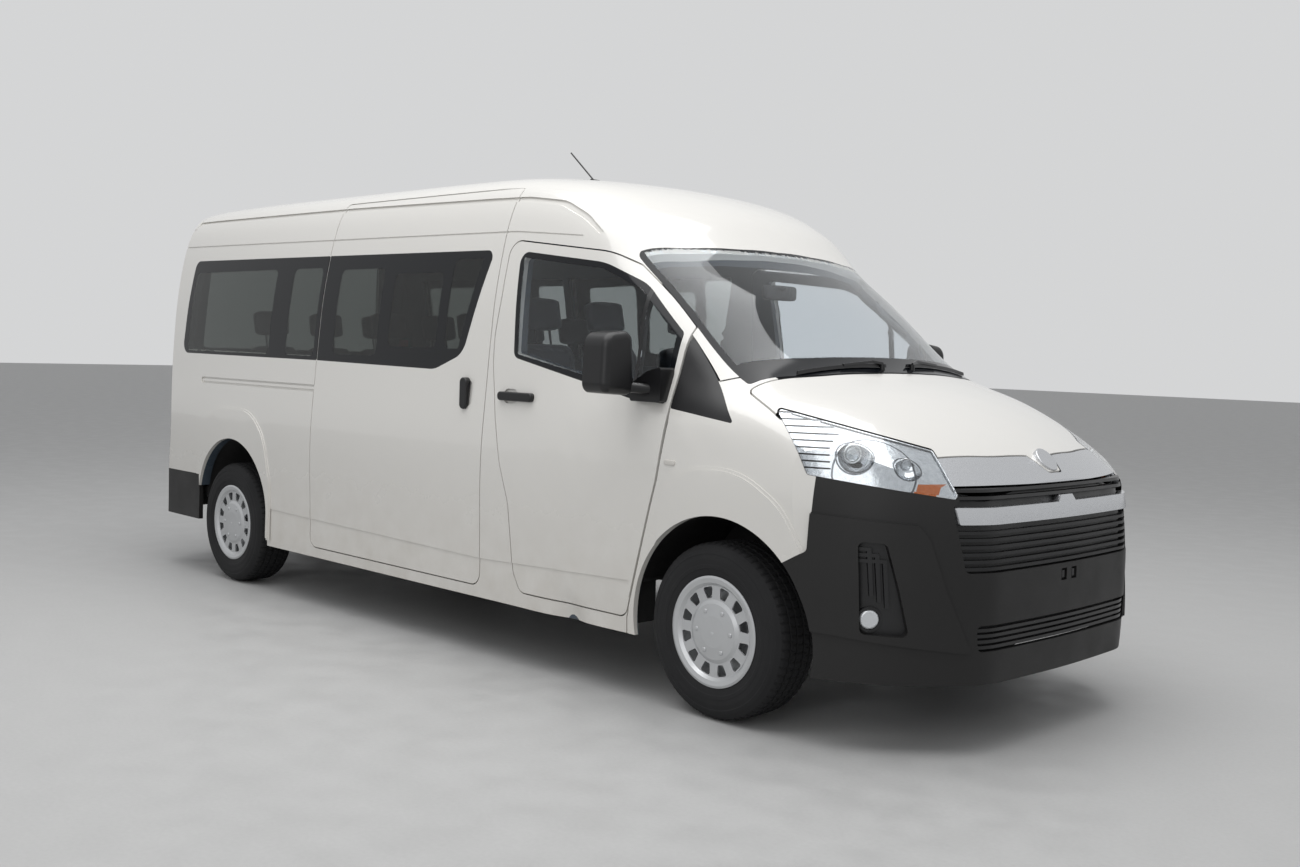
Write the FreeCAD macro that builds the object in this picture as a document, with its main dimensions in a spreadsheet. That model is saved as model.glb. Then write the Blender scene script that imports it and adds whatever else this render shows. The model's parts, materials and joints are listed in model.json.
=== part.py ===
import FreeCAD, Part
import math
import os
from FreeCAD import Vector, Placement, Rotation

# Long wheelbase minibus with one sliding door.
# Origin on the ground under the middle of the vehicle, +X forward, +Y to its left, +Z up, sizes in mm.

os.makedirs("parts", exist_ok=True)
doc = FreeCAD.newDocument("Minibus")
sheet = doc.addObject("Spreadsheet::Sheet", "Sizes")

SIZES = {
    "overall_length": 5915, "front_axle": 1975, "rear_axle": -1885, "track_half": 837, "hub_height": 350,
    "tyre_radius": 350, "tyre_width": 235, "rim_radius": 203, "cover_radius": 219, "cover_windows": 12,
    "wall": 60, "panel": 25, "glass": 5, "gap": 6, "flange": 24, "roof_seam": 742, "flare": 9, "pad": 12,
    "floor_low": 480, "floor_top": 520, "sill_low": 268, "slide_front": 520, "slide_rear": -975,
    "slide_top": 2178, "front_arch": 457, "rear_arch": 413, "rear_door_half": 792, "rear_door_low": 618,
    "rail_width": 70, "rail_height": 76, "rail_offset": 455, "rail_length": 4420,
    "axle_tube": 38, "drum_radius": 140, "drum_width": 62, "shaft_radius": 36, "shaft_length": 3765,
    "engine_length": 560, "engine_width": 500, "engine_height": 560, "radiator_width": 998,
    "tank_length": 1000, "tank_width": 330, "tank_height": 190, "pipe_radius": 28, "silencer_radius": 85,
    "silencer_length": 620, "wheel_rim": 195, "wheel_grip": 15, "aerial_length": 262,
}
for row, (alias, value) in enumerate(SIZES.items(), 1):
    sheet.set("A%d" % row, alias)
    sheet.set("B%d" % row, str(value))
    sheet.setAlias("B%d" % row, alias)
doc.recompute()


def size(alias):
    return float(sheet.get(alias))


# Body surface: side curve, top centre line, how both change along the vehicle

SIDE = [(150, 948), (325, 964), (584, 972), (868, 976), (1047, 968), (1221, 953), (1400, 938),
        (1633, 914), (1850, 876), (1997, 842), (2187, 786), (2400, 716)]
TOP = [(-3200, 2150), (-2957, 2222), (-2750, 2256), (-2300, 2275), (-1200, 2280), (0, 2279), (400, 2270),
       (800, 2230), (1100, 2150), (1300, 2030), (1434, 1903), (1700, 1704), (2139, 1373), (2400, 1287),
       (2600, 1200), (2740, 1118), (2820, 1062), (3300, 700)]
NARROW = [(-3200, 0.968), (-2800, 0.985), (-2300, 0.996), (-1500, 1), (1950, 1), (2250, 0.997),
          (2450, 0.985), (2700, 0.97), (3300, 0.93)]
BOW = [(-3200, 0), (300, 0), (1000, 60), (1434, 155), (2139, 188), (3300, 190)]
STATIONS = [-3200, -2957, -2750, -2500, -2200, -1500, -700, 100, 450, 700, 900, 1050, 1180, 1300, 1434,
            1570, 1750, 1950, 2139, 2270, 2400, 2550, 2700, 2820, 3050, 3300]
FRONT_PLAN = [(2957.5, 0), (2955, 150), (2949, 300), (2941, 440), (2936, 490), (2925, 530), (2905, 575),
              (2875, 625), (2840, 672), (2785, 738), (2705, 814), (2560, 903), (2400, 960), (2200, 1000),
              (1900, 1060)]
REAR_PLAN = [(-2957.5, 0), (-2950, 450), (-2915, 700), (-2840, 850), (-2720, 945), (-2560, 990),
             (-2300, 1060)]
NOSE_LEAN = [(150, -22), (330, -6), (600, 0), (838, -12), (972, -44), (1078, -96), (1200, -180),
             (1500, -400), (2400, -1060)]
TAIL_LEAN = [(150, 4), (330, 0), (600, 0), (838, 16), (972, 22), (1078, 27), (1200, 34), (1500, 58),
             (2000, 122), (2400, 250)]


def eased(points, at):
    """Smooth curve through (at, value) points with no overshoot; straight past its ends."""
    xs = [p[0] for p in points]
    ys = [p[1] for p in points]
    slopes = [(ys[i + 1] - ys[i]) / (xs[i + 1] - xs[i]) for i in range(len(xs) - 1)]
    if at <= xs[0]:
        return ys[0] + (at - xs[0]) * slopes[0]
    if at >= xs[-1]:
        return ys[-1] + (at - xs[-1]) * slopes[-1]
    bends = [slopes[0]]
    for a, b in zip(slopes, slopes[1:]):
        bends.append(2 * a * b / (a + b) if a * b > 0 else 0.0)
    bends.append(slopes[-1])
    i = max(k for k in range(len(slopes)) if xs[k] <= at)
    span = xs[i + 1] - xs[i]
    u = (at - xs[i]) / span
    return ((1 + 2 * u) * (1 - u) ** 2 * ys[i] + u * (1 - u) ** 2 * span * bends[i]
            + u * u * (3 - 2 * u) * ys[i + 1] + u * u * (u - 1) * span * bends[i + 1])


def blend(low, high, at):
    u = min(1.0, max(0.0, (at - low) / (high - low)))
    return u * u * (3 - 2 * u)


def half_width(x, z, inset):
    lean = 60 * blend(700, 2000, x) * blend(1150, 1400, z)
    return eased(SIDE, z) * eased(NARROW, x) - lean - inset


def crossing(rises, low, high):
    for _ in range(36):
        middle = (low + high) / 2
        if rises(middle) < 0:
            low = middle
        else:
            high = middle
    return (low + high) / 2


def section(station, inset):
    """Half of one cross-section: where the side curve and the roof curve meet they are rounded together."""
    top = eased(TOP, station) - inset
    centre = top - 850
    bow = eased(BOW, station) / 900.0 ** 2
    beside = station - bow * 900 ** 2
    crown = 52 if station < 1300 else 30
    start = math.atan2(150 - centre, half_width(beside, 150, inset))
    turn = math.radians(30)
    steps = [start + (turn - start) * k / 10 for k in range(10)]
    steps += [turn + math.radians(4) * k for k in range(8)]
    steps += [math.radians(62 + 28 * k / 5) for k in range(6)]
    points = []
    for angle in steps:
        c, s = math.cos(angle), math.sin(angle)
        side, roof = 1e6, 1e6
        if c > 0.02:
            side = crossing(lambda r: r * c - half_width(beside, centre + r * s, inset), 200, 60000)
        if s > 0.05:
            roof = crossing(lambda r: centre + r * s + crown * (r * c / 900) ** 2 - top, 100, 6000)
        r = (side ** -13 + roof ** -13) ** (-1 / 13)
        y = r * c
        points.append(Vector(station - bow * y * y, -y, centre + r * s))
    return points


def surface_through(rows):
    surface = Part.BSplineSurface()
    surface.interpolate(rows)
    return surface.toShape()


def body_surface(inset):
    """Sides and roof, through all sections."""
    rows = []
    for station in STATIONS:
        half = section(station, inset)
        rows.append(half + [Vector(p.x, -p.y, p.z) for p in reversed(half[:-1])])
    return surface_through(rows)


def end_surface(plan, lean, inset):
    """Rounded nose or tail: one half of its plan curve mirrored, moved inward by the inset, at every height."""
    forward = 1 if plan[0][0] > 0 else -1
    half = []
    for k, (x, y) in enumerate(plan):
        before = plan[k - 1] if k else (x, -plan[1][1])
        after = plan[min(k + 1, len(plan) - 1)]
        dx, dy = after[0] - before[0], after[1] - before[1]
        norm = math.hypot(dx, dy)
        half.append((x - forward * abs(dy) / norm * inset, max(0.0, y - abs(dx) / norm * inset)))
    half[0] = (half[0][0], 0.0)
    line = [(x, -y) for x, y in reversed(half[1:])] + half
    levels = [150 + 125 * k for k in range(19)]
    return surface_through([[Vector(x + eased(lean, z), y, z) for x, y in line] for z in levels])


hulls = {}


def hull(inset):
    """Closed outer form of the body, or the same form moved inward."""
    if inset not in hulls:
        length = size("overall_length")
        block = Part.makeBox(length, 2500, 2200, Vector(-length / 2, -1250, 200))
        cutters = [body_surface(inset), end_surface(FRONT_PLAN, NOSE_LEAN, inset),
                   end_surface(REAR_PLAN, TAIL_LEAN, inset)]
        parts, _ = block.generalFuse(cutters)
        hulls[inset] = next(s for s in parts.Solids if s.isInside(Vector(0, 0, 1000), 0.1, False))
    return hulls[inset]


shells = {}


def shell(inner, outer=0):
    if (inner, outer) not in shells:
        shells[inner, outer] = hull(outer).cut(hull(inner))
    return shells[inner, outer]


# Outlines and cutting prisms

AXES = {"x": Vector(1, 0, 0), "y": Vector(0, 1, 0), "z": Vector(0, 0, 1)}


def place(axis, a, b, depth):
    if axis == "y":
        return Vector(a, depth, b)
    if axis == "x":
        return Vector(depth, a, b)
    return Vector(a, b, depth)


def spread(points, grow):
    """Closed polygon of (a, b, radius) points with every side moved outward by the same amount."""
    count = len(points)
    area = sum(points[k - 1][0] * points[k][1] - points[k][0] * points[k - 1][1] for k in range(count))
    turn = 1 if area > 0 else -1
    result = []
    for k, (a, b, radius) in enumerate(points):
        before, after = points[k - 1], points[(k + 1) % count]
        back = math.atan2(b - before[1], a - before[0])
        ahead = math.atan2(after[1] - b, after[0] - a)
        bend = (ahead - back + math.pi) % (2 * math.pi) - math.pi
        middle = back + bend / 2 - turn * math.pi / 2
        reach = grow / math.cos(bend / 2)
        result.append((a + reach * math.cos(middle), b + reach * math.sin(middle),
                       max(0, radius + grow * (1 if bend * turn > 0 else -1)) if radius else 0))
    return result


def outline(axis, points, radius=0, grow=0):
    """Closed polygon seen along an axis, grown outward, then its corners rounded."""
    points = spread([(p[0], p[1], p[2] if len(p) > 2 else radius) for p in points], grow)
    corners = [place(axis, a, b, 0) for a, b, _ in points]
    ends = []
    count = len(corners)
    for k, corner in enumerate(corners):
        back = corners[k - 1] - corner
        ahead = corners[(k + 1) % count] - corner
        room = 0.48 * min(back.Length, ahead.Length)
        back.normalize()
        ahead.normalize()
        half = back.getAngle(ahead) / 2
        reach = min(points[k][2] / math.tan(half), room)
        if reach < 0.3:
            ends.append((corner, corner, None))
            continue
        arc = reach * math.tan(half)
        inward = (back + ahead).normalize()
        ends.append((corner + back * reach, corner + ahead * reach, corner + inward * (arc / math.sin(half) - arc)))
    edges = []
    for k, (start, end, middle) in enumerate(ends):
        if middle is not None:
            edges.append(Part.Arc(start, middle, end).toShape())
        edges.append(Part.makeLine(end, ends[(k + 1) % count][0]))
    return Part.Wire(edges)


def prism(axis, wire, low, high):
    face = Part.Face(wire)
    face.translate(AXES[axis] * low)
    return face.extrude(AXES[axis] * (high - low))


def box(x0, x1, y0, y1, z0, z1):
    return Part.makeBox(x1 - x0, y1 - y0, z1 - z0, Vector(x0, y0, z0))


def cylinder(axis, a, b, radius, low, high):
    return Part.makeCylinder(radius, high - low, place(axis, a, b, low), AXES[axis])


def mirrored(shape):
    return shape.mirror(Vector(0, 0, 0), Vector(0, 1, 0))


def both(shape):
    return Part.makeCompound([shape, mirrored(shape)])


def side_cut(points, radius=0, grow=0):
    """Prism through the right side of the body."""
    return prism("y", outline("y", points, radius, grow), -1300, -480)


def largest(shape):
    return max(shape.Solids, key=lambda solid: solid.Volume)


def keep(label, shape, position=None):
    """A sub-part whose shape is set here; a single solid, or a compound of solids that don't touch."""
    solids = [s for s in shape.Solids if s.Volume > 50]
    feature = doc.addObject("Part::Feature", label.title().replace("_", ""))
    feature.Label = label
    feature.Shape = solids[0] if len(solids) == 1 else Part.makeCompound(solids)
    if position is not None:
        feature.Placement = Placement(position, Rotation())
    pieces.append(feature)
    return feature


pieces = []
WALL, PANEL, GLASS, GAP = size("wall"), size("panel"), size("glass"), size("gap")
HALF_GAP = GAP / 2
FLANGE = size("flange")

# Side openings and lines, as (x, z, corner radius)

FRONT_DOOR = [(816, 334, 60), (762, 420, 80), (725, 731, 300), (658, 905, 300), (604, 1115, 300), (556, 1358, 400),
              (549, 1481, 400), (567, 1645, 400), (574, 1925, 70), (1230, 1852, 400), (1470, 1752, 300),
              (1700, 1552, 60), (1700, 1207, 300), (1661, 918, 500), (1499, 334, 50)]
FRONT_GLASS = [(700, 1387, 40), (655, 1870, 50), (1210, 1806, 400), (1440, 1712, 300), (1672, 1510, 30),
               (1672, 1222, 20), (1461, 1236, 300)]
GLASS_POST = [(1461, 1230), (1479, 1230), (1476, 1760), (1458, 1760)]
SEAM = size("slide_rear")
REAR_PANE = [(-2561, 1336, 70), (-2539, 1904, 50), (SEAM - 3, 1892, 5), (SEAM - 3, 1329, 5)]
FRONT_PANE = [(SEAM + 5, 1329, 5), (SEAM + 5, 1892, 5), (462, 1880, 40), (318, 1393, 120), (103, 1314, 200)]
SLIDE_DOOR = [(SEAM, 322, 60), (SEAM, size("slide_top"), 25), (size("slide_front"), size("slide_top"), 25),
              (size("slide_front"), 322, 60)]
CORNER_PANEL = [(1706, 1500, 10), (1706, 1207, 8), (2044, 1165, 6)]
FENDER = [(1505, 200), (1505, 334), (1667, 918), (1703, 1150), (1703, 1500), (1890, 1322), (2030, 1365),
          (2150, 1420), (2900, 1420), (2900, 200)]
BUMPER_SIDE = [(2330, 200), (2330, 671, 5), (2431, 726, 20), (2439, 1003, 5), (3000, 1003), (3000, 200)]
TAIL_LAMP = [(-3000, 812), (-3000, 1462), (-2710, 1462, 12), (-2730, 812, 12)]
ROOF_GROOVE = [(-2990, 2160), (-905, 2152), (339, 2133), (600, 2127, 600), (868, 2094, 300), (1030, 2024, 300),
               (1148, 1942), (1130, 1932), (1004, 2008, 300), (845, 2072, 300), (590, 2104, 600), (339, 2109),
               (-905, 2128), (-2990, 2136)]
WAIST_LINE = [(-2990, 2002), (590, 1965, 900), (1040, 1930), (1040, 1924), (590, 1957, 900), (-2990, 1992)]
ROCKER = [(-1446, 200), (-1446, 482), (-1260, 477), (530, 452, 900), (1520, 490), (1520, 200)]
SLIDE_TRACK = [(-2276, 1160, 14), (-2276, 1197, 14), (SEAM - 3, 1197), (SEAM - 3, 1160)]
SLIDE_RAIL = [(-2262, 1172, 5), (-2262, 1186, 5), (SEAM - 3, 1186), (SEAM - 3, 1172)]
DOOR_CUP = [(652, 1178, 32), (652, 1244, 32), (752, 1244, 32), (752, 1178, 32)]
SLIDE_CUP = [(322, 1148, 36), (322, 1272, 36), (418, 1272, 36), (418, 1148, 36)]
FRONT_FLARE = [(1668, 300), (1668, 700, 80), (1690, 885, 60), (1850, 992, 350), (2110, 998, 400), (2320, 880, 300),
               (2440, 690, 200), (2440, 300)]
REAR_FLARE = [(-2300, 300), (-2300, 640, 200), (-2235, 900, 300), (-2050, 1030, 300), (-1650, 1030, 300),
              (-1465, 900, 300), (-1400, 640, 200), (-1400, 300)]

# Plan outlines, half from the centre line outward, as (x, y, corner radius)

WINDSCREEN = [(1436, 0), (1425, 260, 900), (1385, 560, 700), (1316, 783, 20), (2003, 812, 20), (2095, 520, 900),
              (2132, 200, 900), (2139, 0)]
BONNET = [(2150, 0), (2143, 200, 900), (2106, 520, 900), (2026, 836, 20), (2240, 893, 40), (2430, 800, 300),
          (2703, 590, 10), (2776, 300, 900), (2800, 90, 10), (2874, 44, 14), (2874, 0)]

# Nose, as points that lie on the body or as (y, z, corner radius) from the front

HEAD_LAMP = [(2224, -900, 1234), (2432, -962, 1003), (2836, -612, 934), (2745, -610, 1098)]
FOG_RECESS = [(2592, -877, 777), (2681, -822, 773), (2721, -795, 611), (2751, -764, 439), (2609, -869, 443)]
NOSE_PAD = [(2300, -970, 872), (2445, -945, 872), (2764, -742, 848), (2795, -712, 800), (2839, -664, 619),
            (2876, -598, 455), (2894, -556, 372), (2754, -760, 396), (2513, -918, 424), (2300, -970, 430)]
UPPER_HOLE = [(-616, 1010), (616, 1010), (620, 930), (641, 908), (640, 850), (612, 672, 20), (-612, 672, 20),
              (-640, 850), (-641, 908), (-620, 930)]
LOWER_HOLE = [(-566, 482, 20), (566, 482, 20), (556, 385, 20), (-556, 385, 20)]
LOW_BAR = [(-639, 907, 6), (-62, 907), (-44, 932, 6), (44, 932, 6), (62, 907), (639, 907, 6), (631, 846, 6),
           (-631, 846, 6)]
GATE = [(-size("rear_door_half"), size("rear_door_low"), 40), (-size("rear_door_half"), 2000, 300), (-752, 2400),
        (752, 2400), (size("rear_door_half"), 2000, 300), (size("rear_door_half"), size("rear_door_low"), 40)]
GATE_GLASS = [(-700, 1340, 60), (-660, 2010, 60), (660, 2010, 60), (700, 1340, 60)]


def symmetric(points):
    """Plan outline from its half on the left, centre line first and last."""
    right = [(p[0], -p[1]) + tuple(p[2:]) for p in points[1:-1]]
    return points + list(reversed(right))


OUTWARD = Vector(math.cos(math.radians(40)), -math.sin(math.radians(40)), 0)


def corner_prism(points, grow=0, radius=14):
    """Prism through corners that lie on the body, seen level from outside at 40 degrees to the nose."""
    turn = Rotation(Vector(0, 0, 1), -40)
    flat = []
    for x, y, z in points:
        local = turn.inverted().multVec(Vector(x, y, z))
        flat.append((local.y, local.z, radius))
    solid = prism("x", outline("x", flat, radius, grow), 1500, 4000)
    solid.Placement = Placement(Vector(), turn)
    return solid


def grown(axis, points, radius, grow, low, high):
    return prism(axis, outline(axis, points, radius, grow), low, high)


def moved(shape, x, y, z):
    copy = shape.copy()
    copy.translate(Vector(x, y, z))
    return copy


def sheet_of(cut, x, y, z):
    """Thin sheet that follows the body surface inside a prism; the vector is its thickness and way in."""
    return hull(0).common(cut).cut(moved(hull(0), x, y, z))


def raised(cut, x, y, z):
    """Layer that stands on the body surface inside a prism; the vector is its thickness and way out."""
    return moved(hull(0), x, y, z).common(cut)


def nose_block(inset, cut):
    """Part of a prism that lies behind the front surface."""
    parts, _ = cut.generalFuse([end_surface(FRONT_PLAN, NOSE_LEAN, inset)])
    return min(parts.Solids, key=lambda solid: solid.CenterOfMass.x)


def nose_band(outer, inner, cut):
    return nose_block(outer, cut).cut(nose_block(inner, cut))


def nose_cut(points, grow=0):
    """Prism through the front, from an outline of (y, z) points."""
    return grown("x", points, 0, grow, 2400, 3000)


def glazed(panel, points, outer_radius=30):
    """A wall with its glass let in flush: an opening inside a rebate. Gives the wall and the glass."""
    seat = side_cut(points, outer_radius)
    opening = side_cut(points, outer_radius, -FLANGE)
    glass = sheet_of(seat, 0, GLASS, 0)
    return panel.cut([glass, opening]), glass


def rear_arch():
    """Wheel opening of the rear: a round top on upright sides."""
    x, radius = size("rear_axle") + 35, size("rear_arch")
    return cylinder("y", x, 435, radius, -1100, 1100).fuse(box(x - radius, x + radius, -1100, 1100, 200, 435))


def front_arch():
    return cylinder("y", size("front_axle") + 30, size("hub_height"), size("front_arch"), -1100, 1100)


def flare(points, inner):
    """Raised field round a wheel opening, stepped out twice so that its edge reads as a bevel."""
    rise = size("flare")
    steps = [raised(side_cut(points), 0, -rise * 0.5, 0), raised(side_cut(points, 0, -12), 0, -rise, 0)]
    return steps[0].fuse(steps[1]).cut(hull(inner))


def creases():
    """Thin sheets that are cut from the right side: roof groove, waist line and stepped rocker."""
    return [sheet_of(side_cut(ROOF_GROOVE), 0, 10, 0), sheet_of(side_cut(WAIST_LINE), 0, 5, 0),
            sheet_of(side_cut(ROCKER), 0, 4, 0)]


def windscreen_prism(grow=0):
    return grown("z", symmetric(WINDSCREEN), 0, grow, 1250, 2100)


def bonnet_prism(grow=0):
    return grown("z", symmetric(BONNET), 0, grow, 1000, 1480)


def windscreen_glass():
    return sheet_of(windscreen_prism(), -0.6 * GLASS, 0, -0.8 * GLASS)


def tailgate_prism(grow=0):
    return prism("x", outline("x", GATE, 0, grow), -3000, -2703 + grow)


def side_of_body():
    """Right body side before its doors are cut: one pressing from tail to windscreen."""
    side = shell(WALL).fuse(flare(REAR_FLARE, WALL))
    side = side.common(box(-2958, 2110, -1100, -size("roof_seam"), size("sill_low"), 2300))
    return side.cut([tailgate_prism(GAP), side_cut(FENDER, 0, HALF_GAP), SCREEN, windscreen_prism(-FLANGE),
                     box(-2960, -2250, -1100, -500, 200, 606), side_cut(TAIL_LAMP, 12), rear_arch()] + CREASES)


def inner_limit(cut, y):
    """Keeps the part of a prism that lies further out than y on the right."""
    return cut.common(box(-3000, 3000, -1300, -y, 0, 2500))


def body_sides():
    blank = side_of_body()
    blank = blank.cut(inner_limit(side_cut(FRONT_DOOR, 100, HALF_GAP), 790))
    right = blank.cut(side_cut(SLIDE_DOOR, 40, HALF_GAP))
    right, right_glass = glazed(right, REAR_PANE)
    rail = sheet_of(side_cut(SLIDE_RAIL), 0, 11, 0)
    right = right.cut(sheet_of(side_cut(SLIDE_TRACK), 0, 11, 0).cut(rail.cut(sheet_of(side_cut(SLIDE_RAIL), 0, 3, 0))))
    left = blank
    left_glass = []
    for points in (REAR_PANE, FRONT_PANE):
        left, glass = glazed(left, points)
        left_glass.append(mirrored(glass))
    keep("body_side_right", largest(right))
    keep("body_side_left", mirrored(largest(left)))
    keep("side_glass", Part.makeCompound([right_glass] + left_glass))


def roof():
    seam = size("roof_seam")
    panel = shell(WALL).common(box(-2697, 1500, -seam, seam, 1700, 2400))
    groove = CREASES[0]
    panel = panel.cut([SCREEN, windscreen_prism(-FLANGE), groove, mirrored(groove)])
    keep("roof_panel", largest(panel))


def windscreen():
    keep("windscreen", largest(SCREEN))


def cowl():
    """Black panel at the foot of the windscreen, which carries the wipers and the glass's lower edge."""
    field = windscreen_prism(60).common(box(1990, 2300, -800, 800, 1000, 1600))
    panel = moved(hull(0), -0.6 * GLASS, 0, -0.8 * GLASS).common(field)
    panel = panel.cut([moved(hull(0), 0, 0, -60), windscreen_prism(-FLANGE), bonnet_prism(GAP)])
    panel = panel.cut(raised(windscreen_prism(60), 0, 0, 0).cut([moved(hull(0), 0, 0, -14), windscreen_prism()]))
    return largest(panel)


def sliding_door():
    door = shell(WALL).common(inner_limit(side_cut(SLIDE_DOOR, 40, -HALF_GAP), size("roof_seam") + HALF_GAP))
    door = door.cut(CREASES + [sheet_of(side_cut(SLIDE_CUP), 0, 8, 0)])
    door, glass = glazed(door, FRONT_PANE)
    keep("sliding_door", largest(door))
    keep("sliding_door_glass", glass)
    keep("sliding_door_handle", grip(370, 1210, 26, 74))


def grip(x, z, half_length, half_height):
    """Raised handle seated on the right side over its hollow."""
    low, high = z - half_height, z + half_height
    shape = outline("y", [(x - half_length, low), (x + half_length, low), (x + half_length, high),
                          (x - half_length, high)], min(half_length, half_height) * 0.9)
    face = -half_width(x, z, 0)
    bar = prism("y", shape, face - 22, face + 12)
    rim = [e for e in bar.Edges if e.BoundBox.YMax < face - 21]
    return bar.makeFillet(7, rim).cut(hull(0))


def front_doors():
    door = shell(WALL).common(inner_limit(side_cut(FRONT_DOOR, 100, -HALF_GAP), 796))
    door = door.cut(CREASES + [sheet_of(side_cut(DOOR_CUP), 0, 9, 0)])
    pillar = shell(WALL).common(box(470, 620, -1100, -700, 1000, 2060)).cut(side_cut(FRONT_DOOR, 100, 2))
    turns = [Placement(Vector(), Rotation(Vector(0, 0, 1), -a), Vector(1700, -978, 0)) for a in (1.2, 2.4, 3.6, 4.8)]
    swept = [pillar.transformed(turn.toMatrix()) for turn in turns]
    door, glass = glazed(door.cut([windscreen_prism(HALF_GAP)] + swept), FRONT_GLASS, 20)
    post = side_cut(GLASS_POST)
    frame = shell(PANEL).common(inner_limit(post, 796)).cut(door)
    door, panes = largest(door), glass.cut(post)
    trim = Part.makeCompound([mirror_head(), grip(748, 1210, 120, 20), largest(frame)])
    keep("front_door_right", door)
    keep("front_door_left", mirrored(door))
    keep("front_door_glass_right", panes)
    keep("front_door_glass_left", mirrored(panes))
    keep("front_door_trim_right", trim)
    keep("front_door_trim_left", mirrored(trim))


def mirror_head():
    """Tall door mirror: rounded housing, hollow round its glass, on an arm from the foot of the door glass."""
    shape = outline("x", [(-1200, 1262, 40), (-1192, 1498, 60), (-1040, 1515, 45), (-1022, 1250, 40)], 40)
    head = prism("x", shape, 1455, 1585)
    head = head.makeFillet(30, [e for e in head.Edges if abs(e.BoundBox.XMax - 1585) < 1 and e.BoundBox.XLength < 1])
    glass = outline("x", [(-1186, 1278, 28), (-1180, 1484, 46), (-1052, 1498, 34), (-1038, 1266, 28)], 30)
    head = head.cut(prism("x", glass, 1440, 1463))
    arm = Part.makeCylinder(22, 170, Vector(1545, -1080, 1290), Vector(0.5, 1, -0.1))
    foot = prism("y", outline("y", [(1500, 1228), (1508, 1300), (1600, 1352), (1676, 1372), (1676, 1228)], 12),
                 -978, -900)
    return head.fuse([arm, foot]).cut(hull(0))


def front_wings():
    wing = shell(PANEL).fuse(flare(FRONT_FLARE, PANEL)).common(side_cut(FENDER, 0, -HALF_GAP))
    wing = wing.cut([side_cut(CORNER_PANEL, 8), bonnet_prism(8), windscreen_prism(1), corner_prism(HEAD_LAMP, 2),
                     side_cut(BUMPER_SIDE), front_arch(), box(1400, 3000, -1200, -200, 150, size("sill_low")),
                     box(2032, 3000, -700, 0, 200, 1600), CREASES[2], COWL])
    keep("front_wings", both(largest(wing)))
    panel = shell(PANEL).common(side_cut(CORNER_PANEL, 8))
    keep("corner_panels", both(panel))


def bonnet():
    """Lid whose edge is stepped back underneath, so that it clears the lamps and the nose as it opens."""
    lamps = [moved(corner_prism(HEAD_LAMP, GAP), *step) for step in ((0, 0, 0), (-10, 0, -12), (-22, 0, -24),
                                                                     (-34, 0, -38))]
    nose = hull(0).common(box(2650, 3000, -630, 630, 930, 1250)).cut(bonnet_prism(HALF_GAP))
    ahead = [moved(nose, -back, 0, up) for back, up in ((7, 2.5), (11, -3.5), (15, -9.5))]
    lid = shell(PANEL).common(bonnet_prism()).cut(lamps + [mirrored(p) for p in lamps] + ahead)
    keep("bonnet", largest(lid))


def bars(cut, half, levels, depth_out, depth_in):
    """Level bars of a grille, each following the front surface."""
    solids = []
    for z in levels:
        slab = box(2500, 3000, -half, half, z - 6, z + 6)
        solids.append(nose_band(depth_out, depth_in, slab).common(cut))
    return solids


def headlamps():
    """Clear lens flush with the body, and behind it a bright reflector body with bowls and a ribbed end."""
    block = corner_prism(HEAD_LAMP)
    lens = hull(0).common(block).cut(moved(hull(0), *(OUTWARD * -GLASS)))
    keep("headlamps", both(largest(lens)))
    body = moved(hull(0), *(OUTWARD * -GLASS)).common(block).cut(hull(WALL))
    pocket = moved(hull(0), *(OUTWARD * -GLASS)).common(corner_prism(HEAD_LAMP, -5))
    bowls = [pocket.cut(moved(hull(0), *(OUTWARD * -14)))]
    for centre, radius in ((Vector(2547, -846, 1080), 66), (Vector(2694, -722, 1046), 50)):
        bowls.append(Part.makeSphere(radius, centre + OUTWARD * 8))
    for k in range(9):
        bowls.append(box(2200, 2430 + 6 * k, -1000, -800, 1216 - 24 * k, 1222 - 24 * k))
    body = largest(body.cut(bowls))
    keep("lamp_reflectors", both(body))
    return body


def bumper():
    """Moulded front with a raised field on each side, hollow fog recesses and two grille openings."""
    nose = shell(PANEL).common(box(2330, 3000, -1100, 1100, 262, 1003))
    for share in (0.4, 1.0):
        rise = OUTWARD * (size("pad") * share)
        field = raised(corner_prism(NOSE_PAD, -8 * share, 18), rise.x, rise.y, 0).cut(hull(PANEL))
        nose = nose.fuse([field, mirrored(field)])
    joint = prism("y", outline("y", [(2200, 150), (2200, 1100), (2439, 1100), (2439, 993, 5), (2431, 726, 20),
                                     (2330, 671, 5), (2330, 150)], 0), -1300, 1300)
    lamp, fog = corner_prism(HEAD_LAMP, 1), corner_prism(FOG_RECESS, 0, 22)
    clips = []
    for y in (-38, 38):
        deep = nose_block(14, box(2790, 3010, y - 21, y + 21, 600, 660))
        clips.append(nose_block(0, box(2800, 3000, y - 20, y + 20, 606, 652)).cut(deep))
    nose = nose.cut([lamp, mirrored(lamp), joint, front_arch(), nose_cut(UPPER_HOLE), nose_cut(LOWER_HOLE),
                     fog, mirrored(fog)] + clips)
    keep("front_bumper", largest(nose))


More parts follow.
